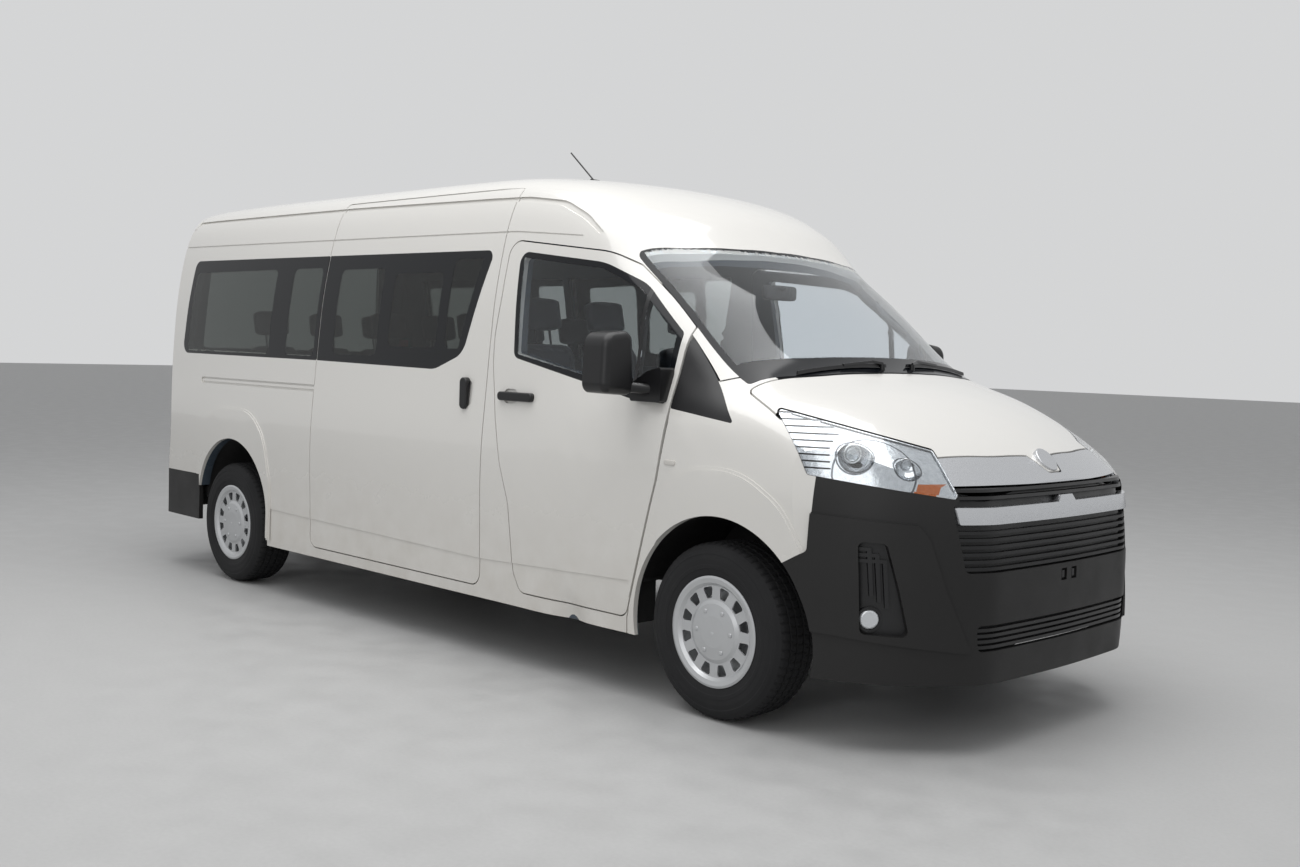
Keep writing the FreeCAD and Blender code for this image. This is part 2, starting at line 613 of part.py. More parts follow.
def fog_lamps():
    """Recess panel behind the bumper with three bent ribs, and a round lamp in its foot."""
    opening = corner_prism(FOG_RECESS, -0.5, 22)
    back = hull(PANEL).common(corner_prism(FOG_RECESS, 10, 22)).cut(moved(hull(PANEL), *(OUTWARD * -12)))
    front = moved(hull(0), *(OUTWARD * -9)).common(opening).cut(moved(hull(PANEL), *(OUTWARD * -6)))
    ribs = []
    for drop, inward in ((6, 22), (27, 50), (48, 78)):
        ribs.append(front.common(rib_of_recess(761 - drop, inward)))
    centre = Vector(2644, -849, 495)
    lamp = Part.makeCylinder(36, 62, centre - OUTWARD * 66, OUTWARD)
    rim = [e for e in lamp.Edges if (e.CenterOfMass - centre).dot(OUTWARD) > -6 and len(e.Vertexes) == 1]
    lamp = lamp.makeFillet(9, rim)
    ring = Part.makeCylinder(46, 52, centre - OUTWARD * 56, OUTWARD).common(front)
    bezel = back.fuse(ribs + [ring]).cut(Part.makeCylinder(36, 120, centre - OUTWARD * 90, OUTWARD))
    keep("fog_bezels", both(largest(bezel)))
    keep("fog_lamps", both(lamp))


def rib_of_recess(z_top, inward):
    """Bent rib: level from the outer edge of the fog recess, then down beside it."""
    start = Vector(2585, -884, z_top)
    corner = Vector(2585, -884, z_top) + Vector(0.80, 0.66, 0).normalize() * (inward + 40)
    band = [start, corner, corner + Vector(0.02, 0.015, -0.35) * 500]
    band += [band[2] + Vector(-10, -9, 0), corner + Vector(-11, -10, -13), start + Vector(0, 0, -13)]
    return corner_prism([(p.x, p.y, p.z) for p in band], 0, 3)


def front_face(lamp_body):
    """Grilles and bright bars of the nose."""
    lamps = [corner_prism(HEAD_LAMP, 1), mirrored(corner_prism(HEAD_LAMP, 1)), lamp_body, mirrored(lamp_body)]
    upper = nose_cut(UPPER_HOLE)
    upper_bars = bars(upper, 650, (686, 712, 738, 764, 790, 816, 940, 966), 6, 32)
    back = nose_band(30, 44, upper).common(moved(hull(0), -24, 0, -14))
    grille = back.fuse(upper_bars).cut(lamps)
    low_bar = nose_band(-4, 29, nose_cut(LOW_BAR)).cut(lamps)
    lower = nose_cut(LOWER_HOLE)
    lower_bars = bars(lower, 580, (400, 421, 442, 463), 6, 32)
    clips = [nose_band(4, 14, box(2800, 3000, y - 9, y + 9, 615, 643)) for y in (-38, 38)]
    keep("front_grille", Part.makeCompound([largest(grille.cut(low_bar)),
                                            largest(nose_band(30, 44, lower).fuse(lower_bars))] + clips))
    panel = sheet_of(box(2650, 3000, -613, 613, 980, 1160), -22, 0, -12)
    panel = panel.cut([bonnet_prism(GAP + 1), low_bar, grille] + lamps)
    keep("bright_bars", Part.makeCompound([largest(panel), largest(low_bar)]))


def bonnet_disc():
    """Plain bright disc on the tab at the front of the bonnet."""
    facing = Vector(0.74, 0, 0.67)
    facing.normalize()
    centre = Vector(2832, 0, 1053)
    disc = Part.makeCylinder(54, 30, centre - facing * 18, facing)
    rim = [e for e in disc.Edges if len(e.Vertexes) == 1 and (e.CenterOfMass - centre).dot(facing) > 5]
    disc = disc.makeFillet(4, rim).cut(hull(0))
    keep("bonnet_disc", largest(disc))


def tail():
    gate = shell(WALL).common(tailgate_prism()).common(box(-3000, -2703, -1000, 1000, 500, 2400))
    seat, opening = (prism("x", outline("x", GATE_GLASS, 0, grow), -3000, -2600) for grow in (0, -FLANGE))
    glass = sheet_of(seat.common(box(-3000, -2760, -1000, 1000, 500, 2300)), GLASS, 0, 0)
    plate_place = prism("x", outline("x", [(-270, 880), (270, 880), (270, 1010), (-270, 1010)], 20), -3000, -2600)
    gate = gate.cut([glass, opening, sheet_of(plate_place, 16, 0, 0)])
    keep("tailgate", largest(gate))
    keep("tailgate_glass", largest(glass))
    strip = prism("x", outline("x", [(-300, 1022), (300, 1022), (300, 1078), (-300, 1078)], 14), -3000, -2600)
    garnish = moved(hull(0), -14, 0, 0).common(strip).cut(hull(0))
    garnish = garnish.common(box(-2957.5, -2600, -400, 400, 900, 1200))
    high = prism("x", outline("x", [(-150, 2060), (150, 2060), (150, 2090), (-150, 2090)], 8), -3000, -2600)
    stop_lamp = moved(hull(0), -9, 0, 0).common(high).cut(hull(0))
    keep("tailgate_trim", Part.makeCompound([largest(garnish), largest(stop_lamp)]))
    lamp = shell(WALL).common(side_cut(TAIL_LAMP, 12)).common(box(-3000, -2500, -1000, -799, 700, 1500))
    keep("tail_lamps", both(lamp))
    rear = shell(PANEL).common(box(-2958, -2263, -1100, 1100, 330, 606)).cut(rear_arch())
    keep("rear_bumper", largest(rear))


# Floor, frame and running gear


def floor_pan():
    low, top = size("floor_low"), size("floor_top")
    plate = box(-2890, 1540, -900, 900, low, top).fuse(box(1500, 1900, -498, 498, low, top))
    bulkhead = box(1880, 1900, -850, 850, low, 1300)
    sills = [box(-1420, 1500, -892, -790, 300, low), box(-1420, 1500, 790, 892, 300, low)]
    jack_pads = [box(0, 80, y - 30, y + 30, 290, low) for y in (-841, 841)]
    tail_beam = box(-2890, -2850, -780, 780, 420, 612)
    floor = plate.fuse([bulkhead, tail_beam] + sills + jack_pads)
    x = size("rear_axle") + 35
    for side in (-1, 1):
        low_y, high_y = sorted((side * 622, side * 1000))
        floor = floor.cut([cylinder("y", x, 435, 450, low_y, high_y), box(x - 450, x + 450, low_y, high_y, 200, 435)])
        low_y, high_y = sorted((side * 500, side * 1000))
        floor = floor.cut(cylinder("y", size("front_axle") + 30, size("hub_height"), 484, low_y, high_y))
    floor = floor.common(hull(WALL))
    keep("floor_pan", largest(floor.removeSplitter()))


def rear_wheelhouses():
    x = size("rear_axle") + 35
    tub = cylinder("y", x, 435, 450, -900, -622).cut(cylinder("y", x, 435, 433, -900, -637))
    tub = tub.cut(box(x - 500, x + 500, -1000, -600, -100, size("floor_top") - 60)).common(hull(WALL))
    keep("rear_wheelhouses", both(largest(tub)))


def front_aprons(lamp_body):
    """Inner wing: the wall beside the engine, the liner over the wheel and the strut's tower."""
    x, z = size("front_axle") + 30, size("hub_height")
    wall = box(1560, 2680, -515, -500, 430, 840).fuse(box(1902, 2600, -515, -500, 430, 1060))
    liner = cylinder("y", x, z, 484, -960, -500).cut(cylinder("y", x, z, 470, -960, -515))
    liner = liner.cut(box(1400, 2600, -1000, -500, -200, 500))
    wall = wall.cut(cylinder("y", x, z, 470, -516, -499).common(box(1400, 2600, -600, -400, -200, 430)))
    along = STEER_HEAD - STEER_FOOT
    along.normalize()
    tower = Part.makeCylinder(72, 230, STEER_HEAD - along * 218, along)
    space = Part.makeCylinder(64, 500, STEER_HEAD - along * 500, along)
    apron = wall.fuse([liner, tower]).cut([space, box(1876, 1904, -1000, -400, 476, 1400), lamp_body])
    apron = apron.common(hull(PANEL)).cut(box(1400, 1876, -1000, -400, 838, 1400))
    keep("front_aprons", both(largest(apron)))


def bound(kind, label, sizes, position, turn=None, part_of=None):
    """Primitive with its sizes tied to the sheet."""
    piece = doc.addObject("Part::" + kind, label.title().replace("_", ""))
    piece.Label = label
    for name, expression in sizes.items():
        piece.setExpression(name, expression)
    piece.Placement = Placement(Vector(*position), turn or Rotation())
    if part_of is not None:
        part_of.append(piece)
    else:
        pieces.append(piece)
    return piece


def joined(label, members):
    whole = doc.addObject("Part::MultiFuse", label.title().replace("_", ""))
    whole.Label = label
    whole.Shapes = members
    pieces.append(whole)
    return whole


ALONG_Y = Rotation(Vector(1, 0, 0), -90)
ALONG_X = Rotation(Vector(0, 1, 0), 90)


def chassis_rails():
    members = []
    rail = {"Length": "Sizes.rail_length", "Width": "Sizes.rail_width", "Height": "Sizes.rail_height"}
    for name, side in (("rail_right", -1), ("rail_left", 1)):
        y = side * size("rail_offset") - size("rail_width") / 2
        bound("Box", name, rail, (-2840, y, size("floor_low") - size("rail_height")), None, members)
    cross = {"Length": "Sizes.rail_width", "Width": "Sizes.rail_offset * 2", "Height": "Sizes.rail_height * 0.6"}
    for k, x in enumerate((-2700, -1300, -450, 500, 1350)):
        bound("Box", "cross_member_%d" % k, cross,
              (x, -size("rail_offset"), size("floor_low") - size("rail_height") * 0.6), None, members)
    joined("chassis_rails", members)


def rear_axle():
    members = []
    z = size("hub_height")
    x = size("rear_axle")
    for name, radius, half in (("axle_tube_piece", "Sizes.axle_tube", 720), ("axle_stub", "20 mm", 826)):
        bound("Cylinder", name, {"Radius": radius, "Height": "%d mm" % (2 * half)}, (x, -half, z), ALONG_Y, members)
    hub = {"Radius": "Sizes.axle_tube * 1.4", "Height": "Sizes.drum_width"}
    for name, y in (("hub_right", -811), ("hub_left", 811 - size("drum_width"))):
        bound("Cylinder", name, hub, (x, y, z), ALONG_Y, members)
    bound("Sphere", "differential", {"Radius": "Sizes.axle_tube * 3"}, (x, 0, z), None, members)
    drum = {"Radius": "Sizes.drum_radius", "Height": "Sizes.drum_width"}
    for name, y in (("drum_right", -762), ("drum_left", 700)):
        bound("Cylinder", name, drum, (x, y, z), ALONG_Y, members)
    bound("Cylinder", "propeller_tube", {"Radius": "Sizes.shaft_radius", "Height": "Sizes.shaft_length"},
          (x + 80, 0, z), Rotation(Vector(0, 1, 0), 89.4), members)
    joined("rear_axle", members)


def leaf_springs():
    """Three curved leaves a side, clamped under the axle and hung from the rails."""
    x, z = size("rear_axle"), size("hub_height")
    reach, rise, y = 640, 95, -545
    middle = z - size("axle_tube") - 34
    radius = (reach ** 2 + rise ** 2) / (2 * rise)
    leaves = []
    for k, share in enumerate((1.0, 0.72, 0.44)):
        centre = Vector(x, y - 30, middle + radius - k * 9 + 18)
        ring = Part.makeCylinder(radius + 4.6, 60, centre, Vector(0, 1, 0))
        ring = ring.cut(Part.makeCylinder(radius - 4.6, 60, centre, Vector(0, 1, 0)))
        leaves.append(ring.common(box(x - reach * share, x + reach * share, y - 31, y + 31, 0, middle + rise + 60)))
    spring = box(x - 60, x + 60, y - 36, y + 36, middle - 10, z - size("axle_tube") + 2).fuse(leaves)
    for end in (-1, 1):
        at = x + end * reach
        eye = cylinder("y", at, middle + rise + 18, 22, y - 31, y + 31)
        hanger = box(at - 12, at + 12, y - 31, y + 31, middle + rise + 20, size("floor_low"))
        bracket = box(at - 12, at + 12, y, -size("rail_offset") - size("rail_width") / 2, size("floor_low") - 26,
                      size("floor_low"))
        spring = spring.fuse([eye, hanger, bracket])
    spring = spring.cut(cylinder("y", x, z, size("axle_tube"), -700, 0))
    keep("leaf_springs", both(largest(spring)))


STEER_FOOT = Vector(size("front_axle"), -770, 240)
STEER_HEAD = Vector(size("front_axle"), -560, 975)


def front_suspension():
    """Cross beam, lower arms and struts; its posts carry the engine."""
    x = size("front_axle")
    members = [box(x - 90, x + 90, -400, 400, 235, 300), box(x - 60, x + 60, -490, -400, 235, 480),
               box(x - 60, x + 60, 400, 490, 235, 480), box(x, x + 70, -240, -150, 300, 380),
               box(x, x + 70, 150, 240, 300, 380)]
    arm = [(x - 110, -400), (x + 110, -400), (x + 27, -792, 26), (x - 27, -792, 26)]
    arm = prism("z", outline("z", arm), 206, 230)
    arm = arm.fuse(box(x - 90, x + 90, -430, -380, 206, 300))
    along = STEER_HEAD - STEER_FOOT
    along.normalize()
    start = STEER_FOOT + along * 300
    strut = Part.makeCylinder(25, (STEER_HEAD - start).Length, start, along)
    strut = strut.fuse([Part.makeCylinder(62, 14, STEER_HEAD - along * 16, along),
                        Part.makeCylinder(56, 190, STEER_HEAD - along * 206, along)])
    side = [arm, strut]
    whole = members[0].fuse(members[1:] + side + [mirrored(s) for s in side])
    keep("front_suspension", whole)


def knuckles():
    """Hub carrier that turns about the strut's own line."""
    x, z = size("front_axle"), size("hub_height")
    along = STEER_HEAD - STEER_FOOT
    along.normalize()
    foot = Part.makeCylinder(24, 40, STEER_FOOT + along * 2, along)
    hub = cylinder("y", x, z, 55, -811, -722)
    stalk = Part.makeCylinder(25, 265, STEER_FOOT + along * 30, along)
    disc = cylinder("y", x, z, 112, -778, -760)
    pin = cylinder("y", x, z, 20, -826, -790)
    body = foot.fuse([hub, stalk, disc, pin])
    keep("knuckle_right", largest(body))
    keep("knuckle_left", mirrored(largest(body)))


def sketch_on(body, name, role, points):
    """Closed polygon sketch on one of the body's own planes."""
    sketch = body.newObject("Sketcher::SketchObject", name)
    plane = [f for f in body.Origin.OriginFeatures if f.Role == role][0]
    sketch.AttachmentSupport = [(plane, "")]
    sketch.MapMode = "FlatFace"
    for a, b in zip(points, points[1:] + points[:1]):
        sketch.addGeometry(Part.LineSegment(Vector(a[0], a[1], 0), Vector(b[0], b[1], 0)), False)
    return sketch


def revolved_body(name, points):
    """Ring turned about the wheel's own axle from a half section of (radius, outward) points."""
    body = doc.addObject("PartDesign::Body", name)
    sketch = sketch_on(body, name + "Section", "XY_Plane", points)
    turn = body.newObject("PartDesign::Revolution", name + "Turn")
    turn.Profile = sketch
    turn.ReferenceAxis = (sketch, ["V_Axis"])
    turn.Angle = 360
    doc.recompute()
    return body


def tyre_ring(sides):
    """Tyre made of flat faces between its sections round the axle."""
    r, w, rim = size("tyre_radius"), size("tyre_width") / 2, size("rim_radius")
    half = [(rim, 98), (rim + 26, w - 6), (rim + 72, w), (r - 34, w - 6), (r - 12, w - 22), (r, w - 44)]
    section = half + [(a, -b) for a, b in reversed(half)]
    rows = []
    for k in range(sides):
        angle = 2 * math.pi * k / sides
        rows.append([Vector(a * math.sin(angle), b, a * math.cos(angle)) for a, b in section])
    faces = []
    for k in range(sides):
        for i in range(len(section)):
            j = (i + 1) % len(section)
            corners = [rows[k - 1][i], rows[k][i], rows[k][j], rows[k - 1][j]]
            faces.append(Part.Face(Part.makePolygon(corners + corners[:1])))
    ring = Part.Solid(Part.Shell(faces))
    if ring.Volume < 0:
        ring.reverse()
    return ring


def pressed_wheel():
    """Pressed rim with its disc, closed outward by a domed cover with a ring of windows."""
    rim, cover = size("rim_radius"), size("cover_radius")
    barrel = [(20.06, -24), (58, -24), (62, 8), (150, 18), (183, 4), (185, -92), (195, -110), (216, -110),
              (216, -105.8), (rim - 2.2, -98.8), (rim - 2.2, 98.8), (216, 105.8), (216, 109), (197, 109), (191, 92),
              (191, 16), (150, 31), (56, 21), (20.06, 21)]
    dome = [(0, 114), (62, 112), (110, 106), (125, 98), (180, 98), (192, 109), (210, 113), (cover, 110),
            (cover, 107.6), (205, 107), (194, 100), (186, 92), (124, 92), (108, 99), (60, 106), (0, 108)]
    wheel = revolved_body("Rim", barrel).Shape.fuse(revolved_body("Cover", dome).Shape)
    window = outline("y", [(-13, 131, 5), (13, 131, 5), (27, 176, 9), (-27, 176, 9)])
    slots = []
    for k in range(int(size("cover_windows"))):
        slot = prism("y", window, 70, 125)
        slot.rotate(Vector(), Vector(0, 1, 0), 360.0 * (k + 0.5) / size("cover_windows"))
        slots.append(slot)
    return largest(wheel.cut(slots))


def wheels():
    """Made once about the Y axis, outward towards +Y."""
    shapes = (("tyre", tyre_ring(44)), ("wheel", pressed_wheel()))
    for end, x in (("front", size("front_axle")), ("rear", size("rear_axle"))):
        for side, sign in (("left", 1), ("right", -1)):
            for kind, shape in shapes:
                turned = shape if sign > 0 else mirrored(shape)
                keep("%s_%s_%s" % (kind, end, side), turned, Vector(x, sign * size("track_half"), size("hub_height")))


def under_body():
    block = {"Length": "Sizes.engine_length", "Width": "Sizes.engine_width", "Height": "Sizes.engine_height"}
    bound("Box", "engine_block", block, (1960, -size("engine_width") / 2, 380))
    core = {"Length": "Sizes.rail_width * 0.7", "Width": "Sizes.radiator_width", "Height": "Sizes.engine_height"}
    bound("Box", "radiator", core, (2622, -size("radiator_width") / 2, 432))
    tank = {"Length": "Sizes.tank_length", "Width": "Sizes.tank_width", "Height": "Sizes.tank_height"}
    under = size("floor_low") - size("rail_height") * 0.6
    bound("Box", "fuel_tank", tank, (-700, 70, under - size("tank_height")))
    members = []
    y, z = -250, 330
    pipe = "Sizes.pipe_radius"
    bound("Cylinder", "silencer", {"Radius": "Sizes.silencer_radius", "Height": "Sizes.silencer_length"},
          (-900, y, z), ALONG_X, members)
    bound("Cylinder", "front_pipe", {"Radius": pipe, "Height": "2260 mm"}, (-300, y + 60, z + 55), ALONG_X, members)
    bound("Cylinder", "tail_pipe", {"Radius": pipe, "Height": "900 mm"}, (-1780, y, z - 40), ALONG_X, members)
    bound("Box", "pipe_hanger", {"Length": "24 mm", "Width": "40 mm", "Height": "%f mm" % (under - z)},
          (-440, y - 20, z), None, members)
    joined("exhaust", members)


def seat(x, y0, y1, places, lift=0):
    """Cushion on a plinth, leaning back and head restraints."""
    top = size("floor_top")
    cushion = box(x, x + 500, y0, y1, top + 250 + lift, top + 380 + lift)
    upper = [e for e in cushion.Edges if abs(e.BoundBox.ZMin - (top + 380 + lift)) < 1 or e.BoundBox.ZLength > 100]
    cushion = cushion.makeFillet(28, upper)
    plinth = box(x + 60, x + 430, y0 + 40, y1 - 40, top, top + 252 + lift)
    back = box(-110, 0, y0, y1, 0, 640)
    back = back.makeFillet(34, back.Edges)
    width = (y1 - y0) / places
    for k in range(places):
        middle = y0 + width * (k + 0.5)
        rest = box(-95, -10, middle - 125, middle + 125, 655, 830)
        post = box(-60, -45, middle - 60, middle + 60, 600, 680)
        back = back.fuse([rest.makeFillet(30, rest.Edges), post])
    back.rotate(Vector(), Vector(0, 1, 0), -12)
    back.translate(Vector(x + 60, 0, top + 300 + lift))
    return cushion.fuse([plinth, back])


def seats():
    keep("driver_seat", seat(560, 190, 700, 1, 60))
    keep("front_bench", seat(560, -760, 90, 2, 60))
    rows = [seat(x, -330, 780, 3) for x in (-480, -1340)]
    rows.append(seat(-2290, -600, 600, 3))
    keep("rear_seats", Part.makeCompound(rows))


COLUMN = Vector(-0.62, 0, 0.785)
WHEEL_CENTRE = Vector(1360, 440, 1190)


def dashboard():
    """Moulded dash with the steering column."""
    shape = outline("y", [(1540, 880, 30), (1500, 1090, 40), (1560, 1200, 50), (1700, 1262, 40), (1872, 1300, 10),
                          (1872, 850, 10)], 0)
    dash = prism("y", shape, -860, 860)
    hood = prism("y", outline("y", [(1520, 1120, 10), (1500, 1236, 20), (1700, 1290, 40), (1720, 1200)], 10), 290, 590)
    column = Part.makeCylinder(24, 300, WHEEL_CENTRE - COLUMN * 347, COLUMN)
    keep("dashboard", largest(dash.fuse([hood, column]).common(hull(WALL))))


def steering_wheel():
    members = []
    turn = Rotation(Vector(0, 0, 1), COLUMN)
    bound("Torus", "steering_ring", {"Radius1": "Sizes.wheel_rim", "Radius2": "Sizes.wheel_grip"}, WHEEL_CENTRE, turn,
          members)
    bound("Cylinder", "steering_boss", {"Radius": "Sizes.wheel_grip * 4", "Height": "Sizes.wheel_grip * 3"},
          WHEEL_CENTRE - COLUMN * 45, turn, members)
    for k, angle in enumerate((0, 125, 235)):
        spoke = doc.addObject("Part::Box", "SteeringSpoke%d" % k)
        spoke.Length = 190
        spoke.Width = 36
        spoke.Height = 14
        local = Placement(Vector(0, 0, -10), Rotation(Vector(0, 0, 1), 90 + angle))
        local = local.multiply(Placement(Vector(0, -18, 0), Rotation()))
        spoke.Placement = Placement(WHEEL_CENTRE, turn).multiply(local)
        members.append(spoke)
    joined("steering_wheel", members)


def on_skin(x, y, lift):
    """Point above the top of the body surface at a plan position."""
    probe = Part.makeLine(Vector(x, y, 600), Vector(x, y, 2600)).common(hull(0))
    return Vector(x, y, max(v.Z for v in probe.Vertexes) + lift)


def strip(points, half, height):
    """Bar of upright trapeziums, one at each point, that runs across the vehicle."""
    wires = []
    for p in points:
        corners = [p + Vector(-half, 0, 0), p + Vector(half, 0, 0), p + Vector(half * 0.5, 0, height),
                   p + Vector(-half * 0.5, 0, height)]
        wires.append(Part.makePolygon(corners + corners[:1]))
    return Part.makeLoft(wires, True, True)


def small_parts():
    wipers = []
    for (x0, y0), (x1, y1) in (((2098, 100), (2022, 670)), ((2104, -60), (2066, -600))):
        steps = [(x0 + (x1 - x0) * k / 6, y0 + (y1 - y0) * k / 6) for k in range(7)]
        blade = strip([on_skin(x, y, 4) for x, y in steps], 5, 14)
        foot = (x0 + 8, y0 + (y1 - y0) * 0.06)
        arm = strip([on_skin(*foot, 20), on_skin(*steps[1], 22), on_skin(*steps[3], 12)], 7, 10)
        pivot = Part.makeCylinder(11, 46, on_skin(*foot, -24)).cut(hull(0))
        wipers.append(largest(blade.fuse([arm, pivot])))
    keep("wipers", Part.makeCompound(wipers))
    keep("cowl", COWL)
    foot = prism("y", outline("y", [(118, 2250), (222, 2250), (196, 2316, 12), (158, 2324, 12)]), -17, 17)
    foot = foot.cut(hull(0))
    mast = Part.makeCylinder(4, size("aerial_length"), Vector(180, 0, 2304), Vector(-0.764, 0, 0.645))
    keep("aerial", foot.fuse(mast))
    ring = cylinder("z", -2480, 0, 330, 334, 434).cut(cylinder("z", -2480, 0, 190, 334, 372))
    keep("spare_wheel", ring)


CREASES = creases()
SCREEN = windscreen_glass()
COWL = cowl()
body_sides()
roof()
windscreen()
sliding_door()
front_doors()
front_wings()
bonnet()
bonnet_disc()
LAMP_BODY = headlamps()
bumper()
fog_lamps()
front_face(LAMP_BODY)
tail()
floor_pan()
rear_wheelhouses()
front_aprons(LAMP_BODY)
chassis_rails()
rear_axle()
leaf_springs()
front_suspension()
knuckles()
wheels()
under_body()
seats()
dashboard()
steering_wheel()
small_parts()
doc.recompute()

for item in doc.Objects:
    if "Invalid" in item.State or "Error" in item.State:
        raise RuntimeError("object failed: " + item.Label)
for piece in pieces:
    if piece.Shape.isNull() or not piece.Shape.isValid() or not piece.Shape.Solids:
        raise RuntimeError("bad shape: " + piece.Label)
for piece in pieces:
    piece.Shape.exportStep("parts/%s.step" % piece.Label)
print(len(pieces), "pieces")
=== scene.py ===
import json
import math

import bmesh
import bpy
import numpy as np
from bpy.props import FloatProperty, FloatVectorProperty, IntProperty, PointerProperty
from mathutils import Matrix, Vector


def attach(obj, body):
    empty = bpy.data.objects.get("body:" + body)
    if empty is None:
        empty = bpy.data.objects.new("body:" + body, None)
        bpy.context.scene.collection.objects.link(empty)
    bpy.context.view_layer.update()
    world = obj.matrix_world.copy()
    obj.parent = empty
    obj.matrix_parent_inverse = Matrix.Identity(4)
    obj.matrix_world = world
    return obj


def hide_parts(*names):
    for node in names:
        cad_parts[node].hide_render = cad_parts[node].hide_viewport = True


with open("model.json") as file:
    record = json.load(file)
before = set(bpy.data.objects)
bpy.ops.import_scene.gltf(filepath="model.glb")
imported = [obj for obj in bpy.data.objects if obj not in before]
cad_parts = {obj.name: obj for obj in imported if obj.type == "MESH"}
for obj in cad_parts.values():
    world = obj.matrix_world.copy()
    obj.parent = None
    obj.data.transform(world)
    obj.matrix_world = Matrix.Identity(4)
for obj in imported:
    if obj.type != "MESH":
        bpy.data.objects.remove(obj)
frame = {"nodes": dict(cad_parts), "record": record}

bl_info = {
    "name": "Minibus looks",
    "version": (1, 0, 0),
    "blender": (4, 5, 0),
    "location": "View3D > Sidebar > Minibus",
    "description": "Paint, glazing, lamps, wheels, seats and cabin of a long high-roof minibus",
    "category": "Add Mesh",
}

NODES = frame["nodes"]
JOINTS = frame["record"]["behaviour"]["joints"]
WHEELS = {row["child"]: row["pos_m"] for row in JOINTS if "_spin" in row["name"]}
SIDES = (("right", -1), ("left", 1))

# Clear panes of the side window band, as middle and half size in X and Z; the front one has a slanted end
SIDE_PANES = (((-2.000, 1.590), (0.500, 0.240)), ((-1.165, 1.590), (0.150, 0.240)),
              ((-0.620, 1.590), (0.205, 0.225)), ((-0.112, 1.600), (0.205, 0.185)))
FRONT_PANE = ((0.30, 1.63), (0.135, 0.215))

# Top of the body along its centre line, as X and Z, and the box that its curve is drawn in
ROOF_LINE = ((-3.0, 2.21), (-2.3, 2.275), (0.0, 2.279), (0.4, 2.27), (0.8, 2.23), (1.1, 2.15),
             (1.3, 2.03), (1.434, 1.903), (1.7, 1.704), (2.139, 1.373), (2.4, 1.287), (2.6, 1.2),
             (2.82, 1.062), (3.0, 0.93))
ROOF_ENDS = (-3.0, 3.0)
ROOF_TOP = 2.5

# Rear wheel opening's middle and half width, depth of the paint on the walls, front end of the dark inner
# colour, which is painted shade of the cabin laid over the unpainted inner side
REAR_OPENING = (-1.850, 0.416)
PAINT_DEPTH = 0.03
DARK_INSIDE_FRONT = 1.75

# Middle and lens size of the two lamp bowls on the left, and the radii of the dark lines drawn round them
BOWLS = (((2.547, 0.846, 1.080), 0.026, 0.070), ((2.694, 0.722, 1.046), 0.020, 0.054))
LAMP_ARC = ((2.600, 0.800, 1.010), 0.150)

# Soft lamps: name, place, power and size; the camera's place and its yaw, pitch and roll in degrees
LIGHTS = (("overhead", (1, -1, 7), 470, 8), ("beside", (5, -8, 4), 95, 5))
CAMERA_PLACE = (5.490, -4.812, 1.431)
CAMERA_TURN = (135.22, -3.46, 1.76)


def colour(name, text, value):
    """Colour property shown in the panel."""
    return FloatVectorProperty(name=name, description=text, default=value, size=3, subtype="COLOR",
                               min=0, max=1)


class MinibusFinish(bpy.types.PropertyGroup):
    paint: colour("Paint", "Body colour", (0.74, 0.725, 0.69))
    plastic: colour("Bumper plastic", "Unpainted bumpers", (0.0135, 0.013, 0.013))
    # Lining colour is dark blue-grey: the cabin's shade painted in, over the real unpainted inner side of the
    # panels
    lining_and_shade: colour("Lining", "Inner side of the walls and roof", (0.060, 0.078, 0.100))
    trim: colour("Bright trim", "Satin silver bars of the nose", (0.62, 0.63, 0.65))
    clear: colour("Front glass", "Windscreen and front doors", (0.86, 0.90, 0.93))
    tint: colour("Rear glass", "Glass behind the front doors", (0.25, 0.27, 0.26))
    cloth: colour("Seat cloth", "Woven covers of the seats", (0.055, 0.062, 0.074))


class MinibusSizes(bpy.types.PropertyGroup):
    frit: FloatProperty(name="Glass border", description="Black printed border of the glass",
                        default=0.03, unit="LENGTH")
    groove: FloatProperty(name="Tread depth", description="Depth of the tyre's grooves",
                          default=0.008, unit="LENGTH")
    tread_blocks: IntProperty(name="Tread blocks", description="Blocks round each tyre",
                              default=64, min=20, max=90)
    swell: FloatProperty(name="Seat swell", description="Most that a seat pad's cover moves out",
                         default=0.024, unit="LENGTH")


class MinibusStage(bpy.types.PropertyGroup):
    floor: colour("Floor", "Floor colour", (0.46, 0.46, 0.455))
    lens: FloatProperty(name="Lens", description="Focal length", default=37.55, min=10, unit="CAMERA")


# Materials

def material(name, base=None, rough=0.5, metal=0.0, **extra):
    """New principled material; returns it with its node tree and shader."""
    made = bpy.data.materials.new(name)
    made.use_nodes = True
    tree = made.node_tree
    shader = tree.nodes["Principled BSDF"]
    if base is not None:
        shader.inputs["Base Color"].default_value = (*base, 1)
    shader.inputs["Roughness"].default_value = rough
    shader.inputs["Metallic"].default_value = metal
    for key, value in extra.items():
        shader.inputs[key.replace("_", " ")].default_value = value
    return made, tree, shader


def calc(tree, operation, *values):
    """Math node on sockets and numbers; returns its result socket."""
    node = tree.nodes.new("ShaderNodeMath")
    node.operation = operation
    for slot, value in zip(node.inputs, values):
        if isinstance(value, (int, float)):
            slot.default_value = value
        else:
            tree.links.new(value, slot)
    return node.outputs[0]


def place(tree):
    """Object coordinates: the vector socket and its three components."""
    vector = tree.nodes.new("ShaderNodeTexCoord").outputs["Object"]
    apart = tree.nodes.new("ShaderNodeSeparateXYZ")
    tree.links.new(vector, apart.inputs[0])
    return vector, apart.outputs["X"], apart.outputs["Y"], apart.outputs["Z"]


